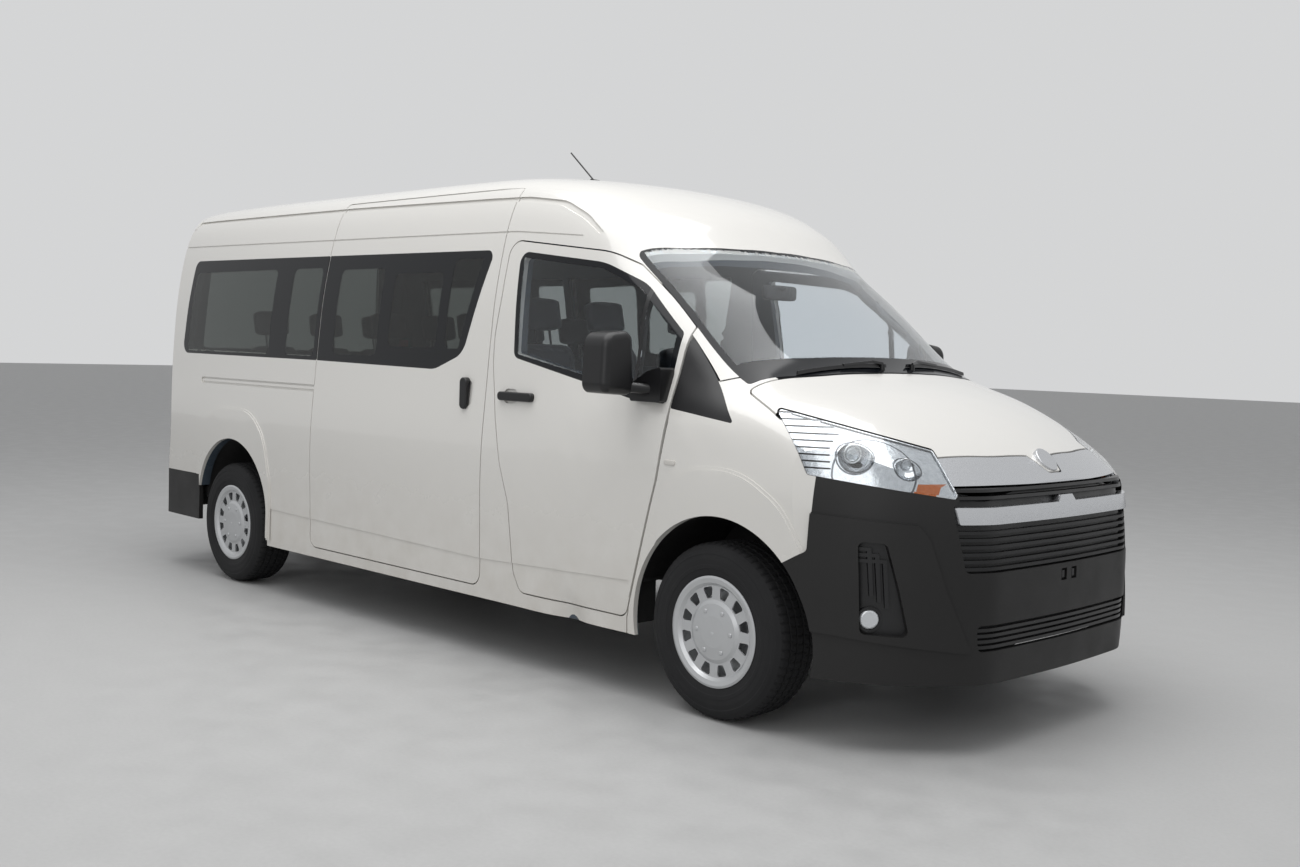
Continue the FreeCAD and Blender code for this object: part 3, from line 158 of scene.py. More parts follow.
def noise(tree, vector, scale, detail=4.0):
    """Noise texture on a vector; returns its factor socket."""
    node = tree.nodes.new("ShaderNodeTexNoise")
    node.inputs["Scale"].default_value = scale
    node.inputs["Detail"].default_value = detail
    tree.links.new(vector, node.inputs["Vector"])
    return node.outputs["Fac"]


def spanned(tree, value, low, high, to_low, to_high, smooth=True):
    """Value carried from one range to another, held at its ends."""
    node = tree.nodes.new("ShaderNodeMapRange")
    node.interpolation_type = "SMOOTHSTEP" if smooth else "LINEAR"
    for key, number in zip(("From Min", "From Max", "To Min", "To Max"), (low, high, to_low, to_high)):
        node.inputs[key].default_value = number
    tree.links.new(value, node.inputs["Value"])
    return node.outputs["Result"]


def tinted(tree, shader, factor, first, second):
    """Base colour between two colours by a factor socket."""
    node = tree.nodes.new("ShaderNodeMix")
    node.data_type = "RGBA"
    node.inputs["A"].default_value = (*first, 1)
    node.inputs["B"].default_value = (*second, 1)
    tree.links.new(factor, node.inputs["Factor"])
    tree.links.new(node.outputs["Result"], shader.inputs["Base Color"])
    return node


def layered(tree, shader, mix, factor, colour_over):
    """Lays one more colour over a colour mix by a factor socket."""
    node = tree.nodes.new("ShaderNodeMix")
    node.data_type = "RGBA"
    node.inputs["B"].default_value = (*colour_over, 1)
    tree.links.new(mix.outputs["Result"], node.inputs["A"])
    tree.links.new(factor, node.inputs["Factor"])
    tree.links.new(node.outputs["Result"], shader.inputs["Base Color"])


def least(tree, *values):
    """Smallest of several sockets."""
    result = values[0]
    for value in values[1:]:
        result = calc(tree, "MINIMUM", result, value)
    return result


def distance_within(tree, value, centre, reach):
    """Distance inwards from both ends of a span given by its centre and reach."""
    return calc(tree, "SUBTRACT", reach, calc(tree, "ABSOLUTE", calc(tree, "SUBTRACT", value, centre)))


def relief(tree, shader, height, depth, strength=0.4):
    """Bump of a height socket on the shader's normal."""
    node = tree.nodes.new("ShaderNodeBump")
    node.inputs["Strength"].default_value = strength
    node.inputs["Distance"].default_value = depth
    tree.links.new(height, node.inputs["Height"])
    tree.links.new(node.outputs["Normal"], shader.inputs["Normal"])


def grained(name, base, rough, metal=0.0, scale=700.0, depth=0.0004, strength=0.35, spread=0.06, **extra):
    """Finish whose fine noise shades the colour, the roughness and the relief."""
    made, tree, shader = material(name, base, rough, metal, **extra)
    vector = place(tree)[0]
    fine = noise(tree, vector, scale)
    broad = noise(tree, vector, 5.0, 6.0)
    uneven = spanned(tree, broad, 0.3, 0.7, max(0.02, rough - spread), rough + spread)
    tree.links.new(uneven, shader.inputs["Roughness"])
    mixed = calc(tree, "MULTIPLY_ADD", fine, 0.5, calc(tree, "MULTIPLY", broad, 0.5))
    tinted(tree, shader, mixed, tuple(c * 0.86 for c in base), tuple(min(1.0, c * 1.12) for c in base))
    relief(tree, shader, fine, depth, strength)
    return made


def curve_value(tree, value, points, low, high, top):
    """Height of a drawn curve at a value; the curve's points are scaled into its unit square."""
    node = tree.nodes.new("ShaderNodeFloatCurve")
    curve = node.mapping.curves[0]
    scaled = [((a - low) / (high - low), b / top) for a, b in points]
    for spot, place_of in zip(curve.points, (scaled[0], scaled[-1])):
        spot.location = place_of
    for a, b in scaled[1:-1]:
        curve.points.new(a, b)
    node.mapping.update()
    tree.links.new(spanned(tree, value, low, high, 0.0, 1.0, False), node.inputs["Value"])
    return calc(tree, "MULTIPLY", node.outputs[0], top)


def inside_walls(tree, x, y, z):
    """One where a point lies deeper than the paint reaches: under the roof line, inside both sides and the
    tail, or just inside the edge of the rear wheel openings.
    There the dark lining colour is laid on, as painted shade of the cabin and as the unpainted inner side."""
    wide = calc(tree, "ABSOLUTE", y)
    rise = calc(tree, "MAXIMUM", calc(tree, "SUBTRACT", z, 0.9), 0.0)
    side = calc(tree, "SUBTRACT", 0.972, calc(tree, "MULTIPLY", calc(tree, "MULTIPLY", rise, rise), 0.108))
    cabin, upper = spanned(tree, x, 0.7, 2.0, 0.0, 0.06), spanned(tree, z, 1.15, 1.4, 0.0, 1.0)
    lean = calc(tree, "MULTIPLY", cabin, upper)
    depth = calc(tree, "SUBTRACT", calc(tree, "SUBTRACT", side, lean), wide)
    square = calc(tree, "MULTIPLY", y, y)
    bowed = calc(tree, "MULTIPLY_ADD", square, spanned(tree, x, 0.3, 1.7, 0.0, 0.235), x)
    line = curve_value(tree, bowed, ROOF_LINE, *ROOF_ENDS, ROOF_TOP)
    roof = calc(tree, "SUBTRACT", line, calc(tree, "MULTIPLY_ADD", square, 0.064, z))
    bulge = calc(tree, "MULTIPLY", calc(tree, "POWER", wide, 4.0), 0.177)
    behind = calc(tree, "MULTIPLY_ADD", rise, -0.098, 2.9575)
    tail = calc(tree, "ADD", behind, calc(tree, "SUBTRACT", x, bulge))
    rounded = calc(tree, "SMOOTH_MIN", depth, roof, 0.24)
    deep = least(tree, rounded, tail, calc(tree, "SUBTRACT", DARK_INSIDE_FRONT, x))
    dark_inside = calc(tree, "GREATER_THAN", deep, PAINT_DEPTH)
    along = distance_within(tree, x, *REAR_OPENING)
    arch = least(tree, along, calc(tree, "SUBTRACT", 0.87, z), calc(tree, "SUBTRACT", depth, 0.012))
    return calc(tree, "MAXIMUM", dark_inside, calc(tree, "GREATER_THAN", arch, 0.0))


def body_paint(look):
    """Warm white lacquer with a slight ripple and road dust towards the sills. Inside, a dark blue-grey
    lining colour stands for painted shade of the cabin as well as the unpainted inner side.
    """
    made, tree, shader = material("body paint", tuple(look.paint), 0.26, Coat_Roughness=0.04)
    vector, x, y, z = place(tree)
    ripple = noise(tree, vector, 240.0, 2.0)
    dust = noise(tree, vector, 9.0, 8.0)
    low = spanned(tree, z, 0.25, 0.95, 0.55, 0.0)
    amount = calc(tree, "MULTIPLY", low, dust)
    coat = tinted(tree, shader, amount, tuple(look.paint), (0.46, 0.42, 0.36))
    inside = inside_walls(tree, x, y, z)
    # Dark lining colour laid inside the walls and roof: painted shade of the cabin, with the unpainted inner
    # side of the panels
    layered(tree, shader, coat, inside, look.lining_and_shade)
    tree.links.new(spanned(tree, inside, 0.0, 1.0, 0.7, 0.0, False), shader.inputs["Coat Weight"])
    tree.links.new(spanned(tree, amount, 0.0, 0.4, 0.24, 0.6), shader.inputs["Roughness"])
    relief(tree, shader, ripple, 0.0003, 0.06)
    return made


def bordered_glass(name, tint, distance, width):
    """Glass whose printed black border and fading dots cover what lies near its edge."""
    made, tree, shader = material(name, tint, 0.015, 0.0, Transmission_Weight=1.0, IOR=1.36)
    vector, x, y, z = place(tree)
    gap = distance(tree, x, y, z)
    dots = tree.nodes.new("ShaderNodeTexVoronoi")
    dots.inputs["Scale"].default_value = 260.0
    tree.links.new(vector, dots.inputs["Vector"])
    ragged = calc(tree, "ADD", gap, calc(tree, "MULTIPLY", dots.outputs["Distance"], 0.006))
    mask = calc(tree, "LESS_THAN", ragged, width)
    film = noise(tree, vector, 14.0, 6.0)
    tree.links.new(spanned(tree, film, 0.4, 0.8, 0.01, 0.05), shader.inputs["Roughness"])
    dark = tree.nodes.new("ShaderNodeBsdfPrincipled")
    dark.inputs["Base Color"].default_value = (0.006, 0.007, 0.009, 1)
    dark.inputs["Roughness"].default_value = 0.12
    dark.inputs["Specular IOR Level"].default_value = 0.28
    mix = tree.nodes.new("ShaderNodeMixShader")
    tree.links.new(mask, mix.inputs["Fac"])
    tree.links.new(shader.outputs[0], mix.inputs[1])
    tree.links.new(dark.outputs[0], mix.inputs[2])
    tree.links.new(mix.outputs[0], tree.nodes["Material Output"].inputs["Surface"])
    return made


def screen_edge(tree, x, y, z):
    """Distance in plan from the windscreen's bowed top and bottom edges and from its sides."""
    bow = calc(tree, "MULTIPLY", y, y)
    top = calc(tree, "SUBTRACT", x, calc(tree, "MULTIPLY_ADD", bow, -0.196, 1.412))
    foot = calc(tree, "SUBTRACT", calc(tree, "MULTIPLY_ADD", bow, -0.215, 2.072), x)
    side = calc(tree, "SUBTRACT", calc(tree, "MULTIPLY_ADD", x, 0.042, 0.727), calc(tree, "ABSOLUTE", y))
    return least(tree, calc(tree, "MULTIPLY", top, 0.8), calc(tree, "MULTIPLY", foot, 0.7), side)


def pane(tree, x, z, middle, half):
    """Depth inside a rounded pane: the smooth least of the distances from its upright and its level edges."""
    along, high = (distance_within(tree, *row) for row in zip((x, z), middle, half))
    return calc(tree, "SMOOTH_MIN", along, high, 0.06)


def band_edge(tree, x, y, z):
    """Depth inside whichever clear pane of the black window band is nearest."""
    panes = [pane(tree, x, z, middle, half) for middle, half in SIDE_PANES]
    slant = calc(tree, "SUBTRACT", calc(tree, "MULTIPLY_ADD", z, 0.265, -0.100), x)
    last = least(tree, slant, pane(tree, x, z, *FRONT_PANE))
    for depth in panes:
        last = calc(tree, "MAXIMUM", last, depth)
    return last


def gate_edge(tree, x, y, z):
    """Distance from the tailgate glass's edges, whose sides lean in towards the roof."""
    side = calc(tree, "SUBTRACT", calc(tree, "MULTIPLY_ADD", z, -0.06, 0.782), calc(tree, "ABSOLUTE", y))
    return least(tree, side, calc(tree, "SUBTRACT", z, 1.34), calc(tree, "SUBTRACT", 2.01, z))


def door_edge(tree, x, y, z):
    """Distance from the front door glass's foot, its upright ends and the three slopes of its top."""
    foot = calc(tree, "SUBTRACT", z, calc(tree, "MULTIPLY_ADD", x, -0.18, 1.505))
    rear = calc(tree, "SUBTRACT", x, calc(tree, "MULTIPLY_ADD", z, -0.093, 0.829))
    edges = [foot, rear, calc(tree, "SUBTRACT", 1.672, x)]
    for slope, height, share in ((-0.115, 1.9455, 0.99), (-0.409, 2.3005, 0.93), (-0.871, 2.966, 0.75)):
        top = calc(tree, "SUBTRACT", calc(tree, "MULTIPLY_ADD", x, slope, height), z)
        edges.append(calc(tree, "MULTIPLY", top, share))
    return least(tree, *edges)


def reflector(name, base):
    """Bright lamp body, alike on both sides: dark lines round the bowls, an amber field at the foot."""
    made, tree, shader = material(name, base, 0.16, 0.85)
    vector, x, y, z = place(tree)
    apart = tree.nodes.new("ShaderNodeCombineXYZ")
    for value, key in ((x, "X"), (calc(tree, "ABSOLUTE", y), "Y"), (z, "Z")):
        tree.links.new(value, apart.inputs[key])
    line = None
    for middle, radius in (*((middle, around) for middle, _, around in BOWLS), LAMP_ARC):
        away = tree.nodes.new("ShaderNodeVectorMath")
        away.operation = "DISTANCE"
        away.inputs[1].default_value = middle
        tree.links.new(apart.outputs[0], away.inputs[0])
        off = calc(tree, "ABSOLUTE", calc(tree, "SUBTRACT", away.outputs["Value"], radius))
        line = off if line is None else least(tree, line, off)
    streaks = noise(tree, vector, 55.0, 3.0)
    shade = calc(tree, "MULTIPLY_ADD", streaks, 0.35, spanned(tree, line, 0.0015, 0.005, 0.75, 0.0))
    first = tinted(tree, shader, shade, base, (0.05, 0.055, 0.065))
    foot = least(tree, calc(tree, "SUBTRACT", x, 2.735), calc(tree, "SUBTRACT", 0.985, z),
                 calc(tree, "SUBTRACT", 2.79, x))
    layered(tree, shader, first, calc(tree, "GREATER_THAN", foot, 0.0), (0.55, 0.16, 0.05))
    relief(tree, shader, streaks, 0.002, 0.3)
    return made


def tail_lens():
    """Red lens with level ribs; one band of it is clear and one amber."""
    red = (0.42, 0.012, 0.012)
    made, tree, shader = material("tail lens", red, 0.12, Coat_Weight=0.6)
    z = place(tree)[3]
    ribs = calc(tree, "SINE", calc(tree, "MULTIPLY", z, 520.0))
    clear = calc(tree, "LESS_THAN", calc(tree, "ABSOLUTE", calc(tree, "SUBTRACT", z, 1.02)), 0.05)
    amber = calc(tree, "LESS_THAN", calc(tree, "ABSOLUTE", calc(tree, "SUBTRACT", z, 1.14)), 0.055)
    first = tinted(tree, shader, clear, red, (0.78, 0.78, 0.78))
    layered(tree, shader, first, amber, (0.75, 0.22, 0.02))
    relief(tree, shader, ribs, 0.0015, 0.5)
    return made


def woven(name, base):
    """Cloth of crossed threads: two waves in object coordinates set the relief and shade the colour."""
    made, tree, shader = material(name, base, 0.92, Sheen_Weight=0.35, Sheen_Roughness=0.5)
    vector, x, y, z = place(tree)
    across = calc(tree, "SINE", calc(tree, "MULTIPLY", y, 2400.0))
    along = calc(tree, "SINE", calc(tree, "MULTIPLY", calc(tree, "ADD", x, z), 2400.0))
    weave = calc(tree, "MULTIPLY", across, along)
    fleck = noise(tree, vector, 420.0, 3.0)
    shade = calc(tree, "MULTIPLY_ADD", weave, 0.2, fleck)
    tinted(tree, shader, shade, tuple(c * 0.6 for c in base), tuple(c * 1.7 for c in base))
    relief(tree, shader, weave, 0.0006, 0.5)
    return made


def brushed(name, base, rough):
    """Satin metal with fine lines along its length."""
    made, tree, shader = material(name, base, rough, 0.92)
    vector = place(tree)[0]
    mapping = tree.nodes.new("ShaderNodeMapping")
    mapping.inputs["Scale"].default_value = (1.0, 0.04, 1.0)
    tree.links.new(vector, mapping.inputs["Vector"])
    lines = noise(tree, mapping.outputs[0], 900.0, 3.0)
    tree.links.new(spanned(tree, lines, 0.3, 0.7, rough - 0.08, rough + 0.08), shader.inputs["Roughness"])
    relief(tree, shader, lines, 0.0002, 0.12)
    return made


def dress(made, *names):
    """Gives CAD nodes or pieces one material."""
    for name in names:
        obj = NODES.get(name) or bpy.data.objects[name]
        obj.data.materials.clear()
        obj.data.materials.append(made)


# Meshes

def piece(name, points, faces, body, made, smooth=True):
    """Object at the origin from arrays of points and faces, riding on a body."""
    mesh = bpy.data.meshes.new(name)
    mesh.from_pydata(points.tolist(), [], [tuple(int(v) for v in face) for face in faces])
    mesh.polygons.foreach_set("use_smooth", np.full(len(mesh.polygons), smooth))
    mesh.update()
    obj = bpy.data.objects.new(name, mesh)
    bpy.context.scene.collection.objects.link(obj)
    mesh.materials.append(made)
    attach(obj, body)
    return obj


def grid_faces(rows, columns, wrap_rows=True, wrap_columns=True, start=0):
    """Quads of a grid, joined end to end where a direction is wrapped."""
    u = np.arange(rows if wrap_rows else rows - 1)[:, None]
    v = np.arange(columns if wrap_columns else columns - 1)[None, :]
    a = u * columns + v
    b = u * columns + (v + 1) % columns
    c = ((u + 1) % rows) * columns + (v + 1) % columns
    d = ((u + 1) % rows) * columns + v
    return np.stack([a, d, c, b], -1).reshape(-1, 4) + start


def ring_surface(section, turns, lowered=None):
    """Closed section of (radius, across) points carried round the Y axis; lowered cuts into the radii."""
    angle = np.linspace(0, 2 * np.pi, turns, endpoint=False)[:, None]
    radius = np.broadcast_to(section[:, 0], (turns, len(section))).copy()
    if lowered is not None:
        radius -= lowered(np.arange(turns)[:, None], section[None, :, 1], radius)
    across = np.broadcast_to(section[:, 1], radius.shape)
    return np.stack([radius * np.cos(angle), across, radius * np.sin(angle)], -1).reshape(-1, 3)


def rounded_box(half, power=5.0, across=20, around=40, centre=(0, 0, 0)):
    """Superquadric: each axis is its half size times the signed power of a sphere's coordinate."""
    u = np.linspace(-np.pi / 2, np.pi / 2, across)[:, None]
    v = np.linspace(-np.pi, np.pi, around, endpoint=False)[None, :]
    bend = lambda t: np.sign(t) * np.abs(t) ** (2.0 / power)
    x = bend(np.cos(u)) * bend(np.cos(v))
    y = bend(np.cos(u)) * bend(np.sin(v))
    z = bend(np.sin(u)) * np.ones_like(v)
    points = (np.stack([x, y, z], -1) * np.array(half) + np.array(centre)).reshape(-1, 3)
    return points, grid_faces(across, around, wrap_rows=False)


def joined(parts):
    """Several pairs of points and faces as one."""
    points, faces, start = [], [], 0
    for p, f in parts:
        points.append(p)
        faces.append(f + start)
        start += len(p)
    return np.concatenate(points), np.concatenate(faces)


def welded(obj):
    """Merges the poles' doubled points and turns all faces outward."""
    work = bmesh.new()
    work.from_mesh(obj.data)
    bmesh.ops.remove_doubles(work, verts=work.verts, dist=1e-6)
    bmesh.ops.dissolve_degenerate(work, edges=work.edges, dist=1e-7)
    bmesh.ops.recalc_face_normals(work, faces=work.faces)
    work.to_mesh(obj.data)
    work.free()
    return obj


class MINIBUS_OT_stage(bpy.types.Operator):
    """Pale floor, soft studio light and the camera at the viewing angle"""
    bl_idname = "minibus.stage"
    bl_label = "Stage"

    def execute(self, context):
        settings = context.scene.minibus_stage
        scene = context.scene
        scene.view_settings.view_transform = "Standard"
        made = grained("floor", tuple(settings.floor), 0.6, scale=60.0, depth=0.001, strength=0.1, spread=0.1)
        mesh = bpy.data.meshes.new("floor")
        reach = 60
        corners = [(-reach, -reach, 0), (reach, -reach, 0), (reach, reach, 0), (-reach, reach, 0)]
        mesh.from_pydata(corners, [], [(0, 1, 2, 3)])
        floor = bpy.data.objects.new("floor", mesh)
        mesh.materials.append(made)
        scene.collection.objects.link(floor)
        self.light(scene)
        camera = bpy.data.cameras.new("camera")
        camera.lens = settings.lens
        camera.clip_end = 200
        eye = bpy.data.objects.new("camera", camera)
        yaw, pitch, roll = (math.radians(angle) for angle in CAMERA_TURN)
        ahead = Vector((math.cos(yaw) * math.cos(pitch), math.sin(yaw) * math.cos(pitch), math.sin(pitch)))
        right = ahead.cross(Vector((0, 0, 1))).normalized()
        up = right.cross(ahead)
        level = right * math.cos(roll) + up * math.sin(roll)
        upright = up * math.cos(roll) - right * math.sin(roll)
        turn = Matrix((level, upright, -ahead)).transposed()
        eye.matrix_world = Matrix.Translation(CAMERA_PLACE) @ turn.to_4x4()
        scene.collection.objects.link(eye)
        scene.camera = eye
        return {"FINISHED"}

    def light(self, scene):
        """Even world light, with a paler backdrop for the camera and mirrored rays, and two soft lamps."""
        world = bpy.data.worlds.new("studio")
        scene.world = world
        world.use_nodes = True
        tree = world.node_tree
        soft = tree.nodes["Background"]
        soft.inputs["Color"].default_value = (0.80, 0.81, 0.83, 1)
        soft.inputs["Strength"].default_value = 0.56
        pale = tree.nodes.new("ShaderNodeBackground")
        pale.inputs["Color"].default_value = (0.66, 0.665, 0.67, 1)
        pale.inputs["Strength"].default_value = 1.0
        rays = tree.nodes.new("ShaderNodeLightPath")
        mirrored = calc(tree, "MAXIMUM", rays.outputs["Is Glossy Ray"], rays.outputs["Is Transmission Ray"])
        seen = calc(tree, "MAXIMUM", rays.outputs["Is Camera Ray"], mirrored)
        mix = tree.nodes.new("ShaderNodeMixShader")
        tree.links.new(seen, mix.inputs["Fac"])
        tree.links.new(soft.outputs[0], mix.inputs[1])
        tree.links.new(pale.outputs[0], mix.inputs[2])
        tree.links.new(mix.outputs[0], tree.nodes["World Output"].inputs["Surface"])
        for name, spot, power, size in LIGHTS:
            data = bpy.data.lights.new(name, "AREA")
            data.energy = power
            data.size = size
            lamp = bpy.data.objects.new(name, data)
            lamp.location = spot
            lamp.rotation_euler = (Vector((0, 0, 1)) - Vector(spot)).to_track_quat("-Z", "Y").to_euler()
            scene.collection.objects.link(lamp)


class MINIBUS_OT_finish(bpy.types.Operator):
    """Paint, plastic, rubber and metal of the pieces"""
    bl_idname = "minibus.finish"
    bl_label = "Finishes"

    def execute(self, context):
        look = context.scene.minibus_finish
        plastic = grained("bumper plastic", tuple(look.plastic), 0.46, scale=1400.0, depth=0.0006,
                          strength=0.5, Specular_IOR_Level=0.36)
        black = grained("black plastic", (0.009, 0.009, 0.010), 0.34, scale=900.0, strength=0.15)
        cast = grained("cast metal", (0.10, 0.10, 0.10), 0.7, 0.6, scale=160.0, depth=0.002, strength=0.6)
        lens = material("lamp lens", (0.95, 0.97, 0.98), 0.02, Transmission_Weight=1.0, IOR=1.4)[0]
        groups = {
            "body_paint": body_paint(look),
            "dark_plastic": plastic,
            "black_plastic": black,
            "bright_trim": brushed("satin silver", tuple(look.trim), 0.26),
            "lamp_clear": lens,
            "lamp_bright": reflector("bright reflector", (0.78, 0.80, 0.83)),
            "lamp_red": tail_lens(),
            "tyre_rubber": grained("tyre rubber", (0.013, 0.013, 0.014), 0.78, scale=500.0, strength=0.4,
                                   Specular_IOR_Level=0.35),
            "wheel_silver": grained("silver lacquer", (0.56, 0.57, 0.58), 0.34, 0.65, scale=800.0,
                                    strength=0.12),
            "chassis_black": grained("chassis paint", (0.03, 0.03, 0.03), 0.62, scale=220.0, depth=0.001),
            "cast_parts": cast,
            "exhaust_steel": grained("dull steel", (0.33, 0.31, 0.29), 0.5, 0.9, scale=90.0, depth=0.001),
            "seat_cloth": woven("seat cloth", tuple(look.cloth)),
            "dash_plastic": grained("dash plastic", (0.075, 0.088, 0.105), 0.6, scale=1100.0, strength=0.45),
        }
        for row in frame["record"]["subparts"]:
            if row["material_slot"] in groups:
                dress(groups[row["material_slot"]], row["node"])
        dress(groups["chassis_black"], "rear_wheelhouses")
        fog = grained("fog lens", (0.74, 0.76, 0.78), 0.12, 0.4, scale=150.0, depth=0.002, strength=0.5)
        dress(fog, "fog_lamps")
        return {"FINISHED"}


class MINIBUS_OT_glazing(bpy.types.Operator):
    """Glass with its printed borders"""
    bl_idname = "minibus.glazing"
    bl_label = "Glazing"

    def execute(self, context):
        look = context.scene.minibus_finish
        width = context.scene.minibus_sizes.frit
        clear, tint = tuple(look.clear), tuple(look.tint)
        dress(bordered_glass("windscreen glass", clear, screen_edge, width), "windscreen")
        dress(bordered_glass("side glass", tint, band_edge, 0.004), "side_glass", "sliding_door_glass")
        dress(bordered_glass("tailgate glass", tint, gate_edge, width), "tailgate_glass")
        dress(bordered_glass("front door glass", clear, door_edge, width), "front_door_glass_left",
              "front_door_glass_right")
        return {"FINISHED"}


class MINIBUS_OT_tyres(bpy.types.Operator):
    """Tyres with four grooves, cross slots and a ribbed wall"""
    bl_idname = "minibus.tyres"
    bl_label = "Tyres"

    def execute(self, context):
        sizes = context.scene.minibus_sizes
        rubber = NODES["tyre_front_left"].data.materials[0]
        section = self.section(sizes.groove)
        blocks = sizes.tread_blocks

        def lowered(turn, across, radius):
            """Slots between the blocks, one groove depth deep, set off by half a block on the outer ribs."""
            shift = np.where(np.abs(across) > 0.05, 2, 0)
            slot = ((turn + shift) % 4 == 0) & (radius > 0.341) & (np.abs(across) < 0.098)
            return np.where(slot, sizes.groove * 0.6, 0.0)

        points = ring_surface(section, blocks * 4, lowered)
        faces = grid_faces(blocks * 4, len(section))
        for body, centre in WHEELS.items():
            name = body.replace("wheel", "tread")
            obj = piece(name, points + np.array(centre), faces, body, rubber, smooth=False)
            welded(obj)
            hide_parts(body.replace("wheel", "tyre"))
        return {"FINISHED"}

    def section(self, depth):
        """Section as radius and half width: bead, bulged wall with two ribs, tread with its grooves."""
        wall = [(0.2035, 0.094), (0.212, 0.104), (0.228, 0.1105), (0.246, 0.1145), (0.249, 0.1165),
                (0.262, 0.1174), (0.265, 0.1165), (0.285, 0.1168), (0.302, 0.1135), (0.306, 0.1145),
                (0.318, 0.1105), (0.328, 0.104), (0.337, 0.098), (0.3445, 0.088)]
        tread = [(0.3475, 0.078)]
        for middle in (0.058, 0.020):
            rise = 0.3482 + (0.078 - middle) * 0.02
            tread += [(rise, middle + 0.006), (rise - depth, middle + 0.004), (rise - depth, middle - 0.004),
                      (rise, middle - 0.006)]
        tread += [(0.3495, 0.002)]
        half = np.array(wall + tread)
        return np.concatenate([half, half[::-1] * np.array([1, -1])])


class MINIBUS_OT_lamps(bpy.types.Operator):
    """Projector lenses and rings inside the lamps"""
    bl_idname = "minibus.lamps"
    bl_label = "Lamp details"

    def execute(self, context):
        ring = grained("lamp ring", (0.7, 0.71, 0.72), 0.2, 0.95, scale=60.0, strength=0.05)
        bulb, tree, shader = material("projector lens", (0.9, 0.93, 0.95), 0.03,
                                      Transmission_Weight=0.85, IOR=1.5)
        relief(tree, shader, noise(tree, place(tree)[0], 300.0), 0.0003, 0.05)
        outward = math.radians(40)
        sunk = 0.040
        axis = np.array([math.cos(outward), math.sin(outward), 0])
        for side, sign in SIDES:
            mirror = np.array([1, sign, 1])
            domes, rings = [], []
            for centre, size, _ in BOWLS:
                middle = np.array(centre) - axis * sunk
                domes.append(self.dome(middle * mirror, axis * mirror, size))
                rings.append(self.collar(middle * mirror, axis * mirror, size))
            for name, parts, made, slot in (("projector_lens_" + side, domes, bulb, "lamp_clear"),
                                            ("projector_ring_" + side, rings, ring, "lamp_bright")):
                points, faces = joined(parts)
                obj = welded(piece(name, points, faces, "body", made))
        return {"FINISHED"}

    def turned(self, local, centre, axis):
        """Local points, whose third axis is the lamp's, placed along its axis."""
        side = np.cross(axis, [0, 0, 1])
        side /= np.linalg.norm(side)
        up = np.cross(side, axis)
        return local[:, :1] * side + local[:, 1:2] * up + local[:, 2:] * axis + centre

    def dome(self, centre, axis, size):
        """Flattened ball: a sphere with its depth halved."""
        points, faces = rounded_box((size, size, size * 0.55), 2.0, 14, 28)
        return self.turned(points, centre, axis), faces

    def collar(self, centre, axis, size):
        """Torus round the lens."""
        u = np.linspace(0, 2 * np.pi, 36, endpoint=False)[:, None]
        v = np.linspace(0, 2 * np.pi, 10, endpoint=False)[None, :]
        thick = size * 0.16
        radius = size * 1.2 + thick * np.cos(v)
        local = np.stack([radius * np.cos(u), radius * np.sin(u), thick * np.sin(v) * np.ones_like(u)], -1)
        return self.turned(local.reshape(-1, 3), centre, axis), grid_faces(36, 10)


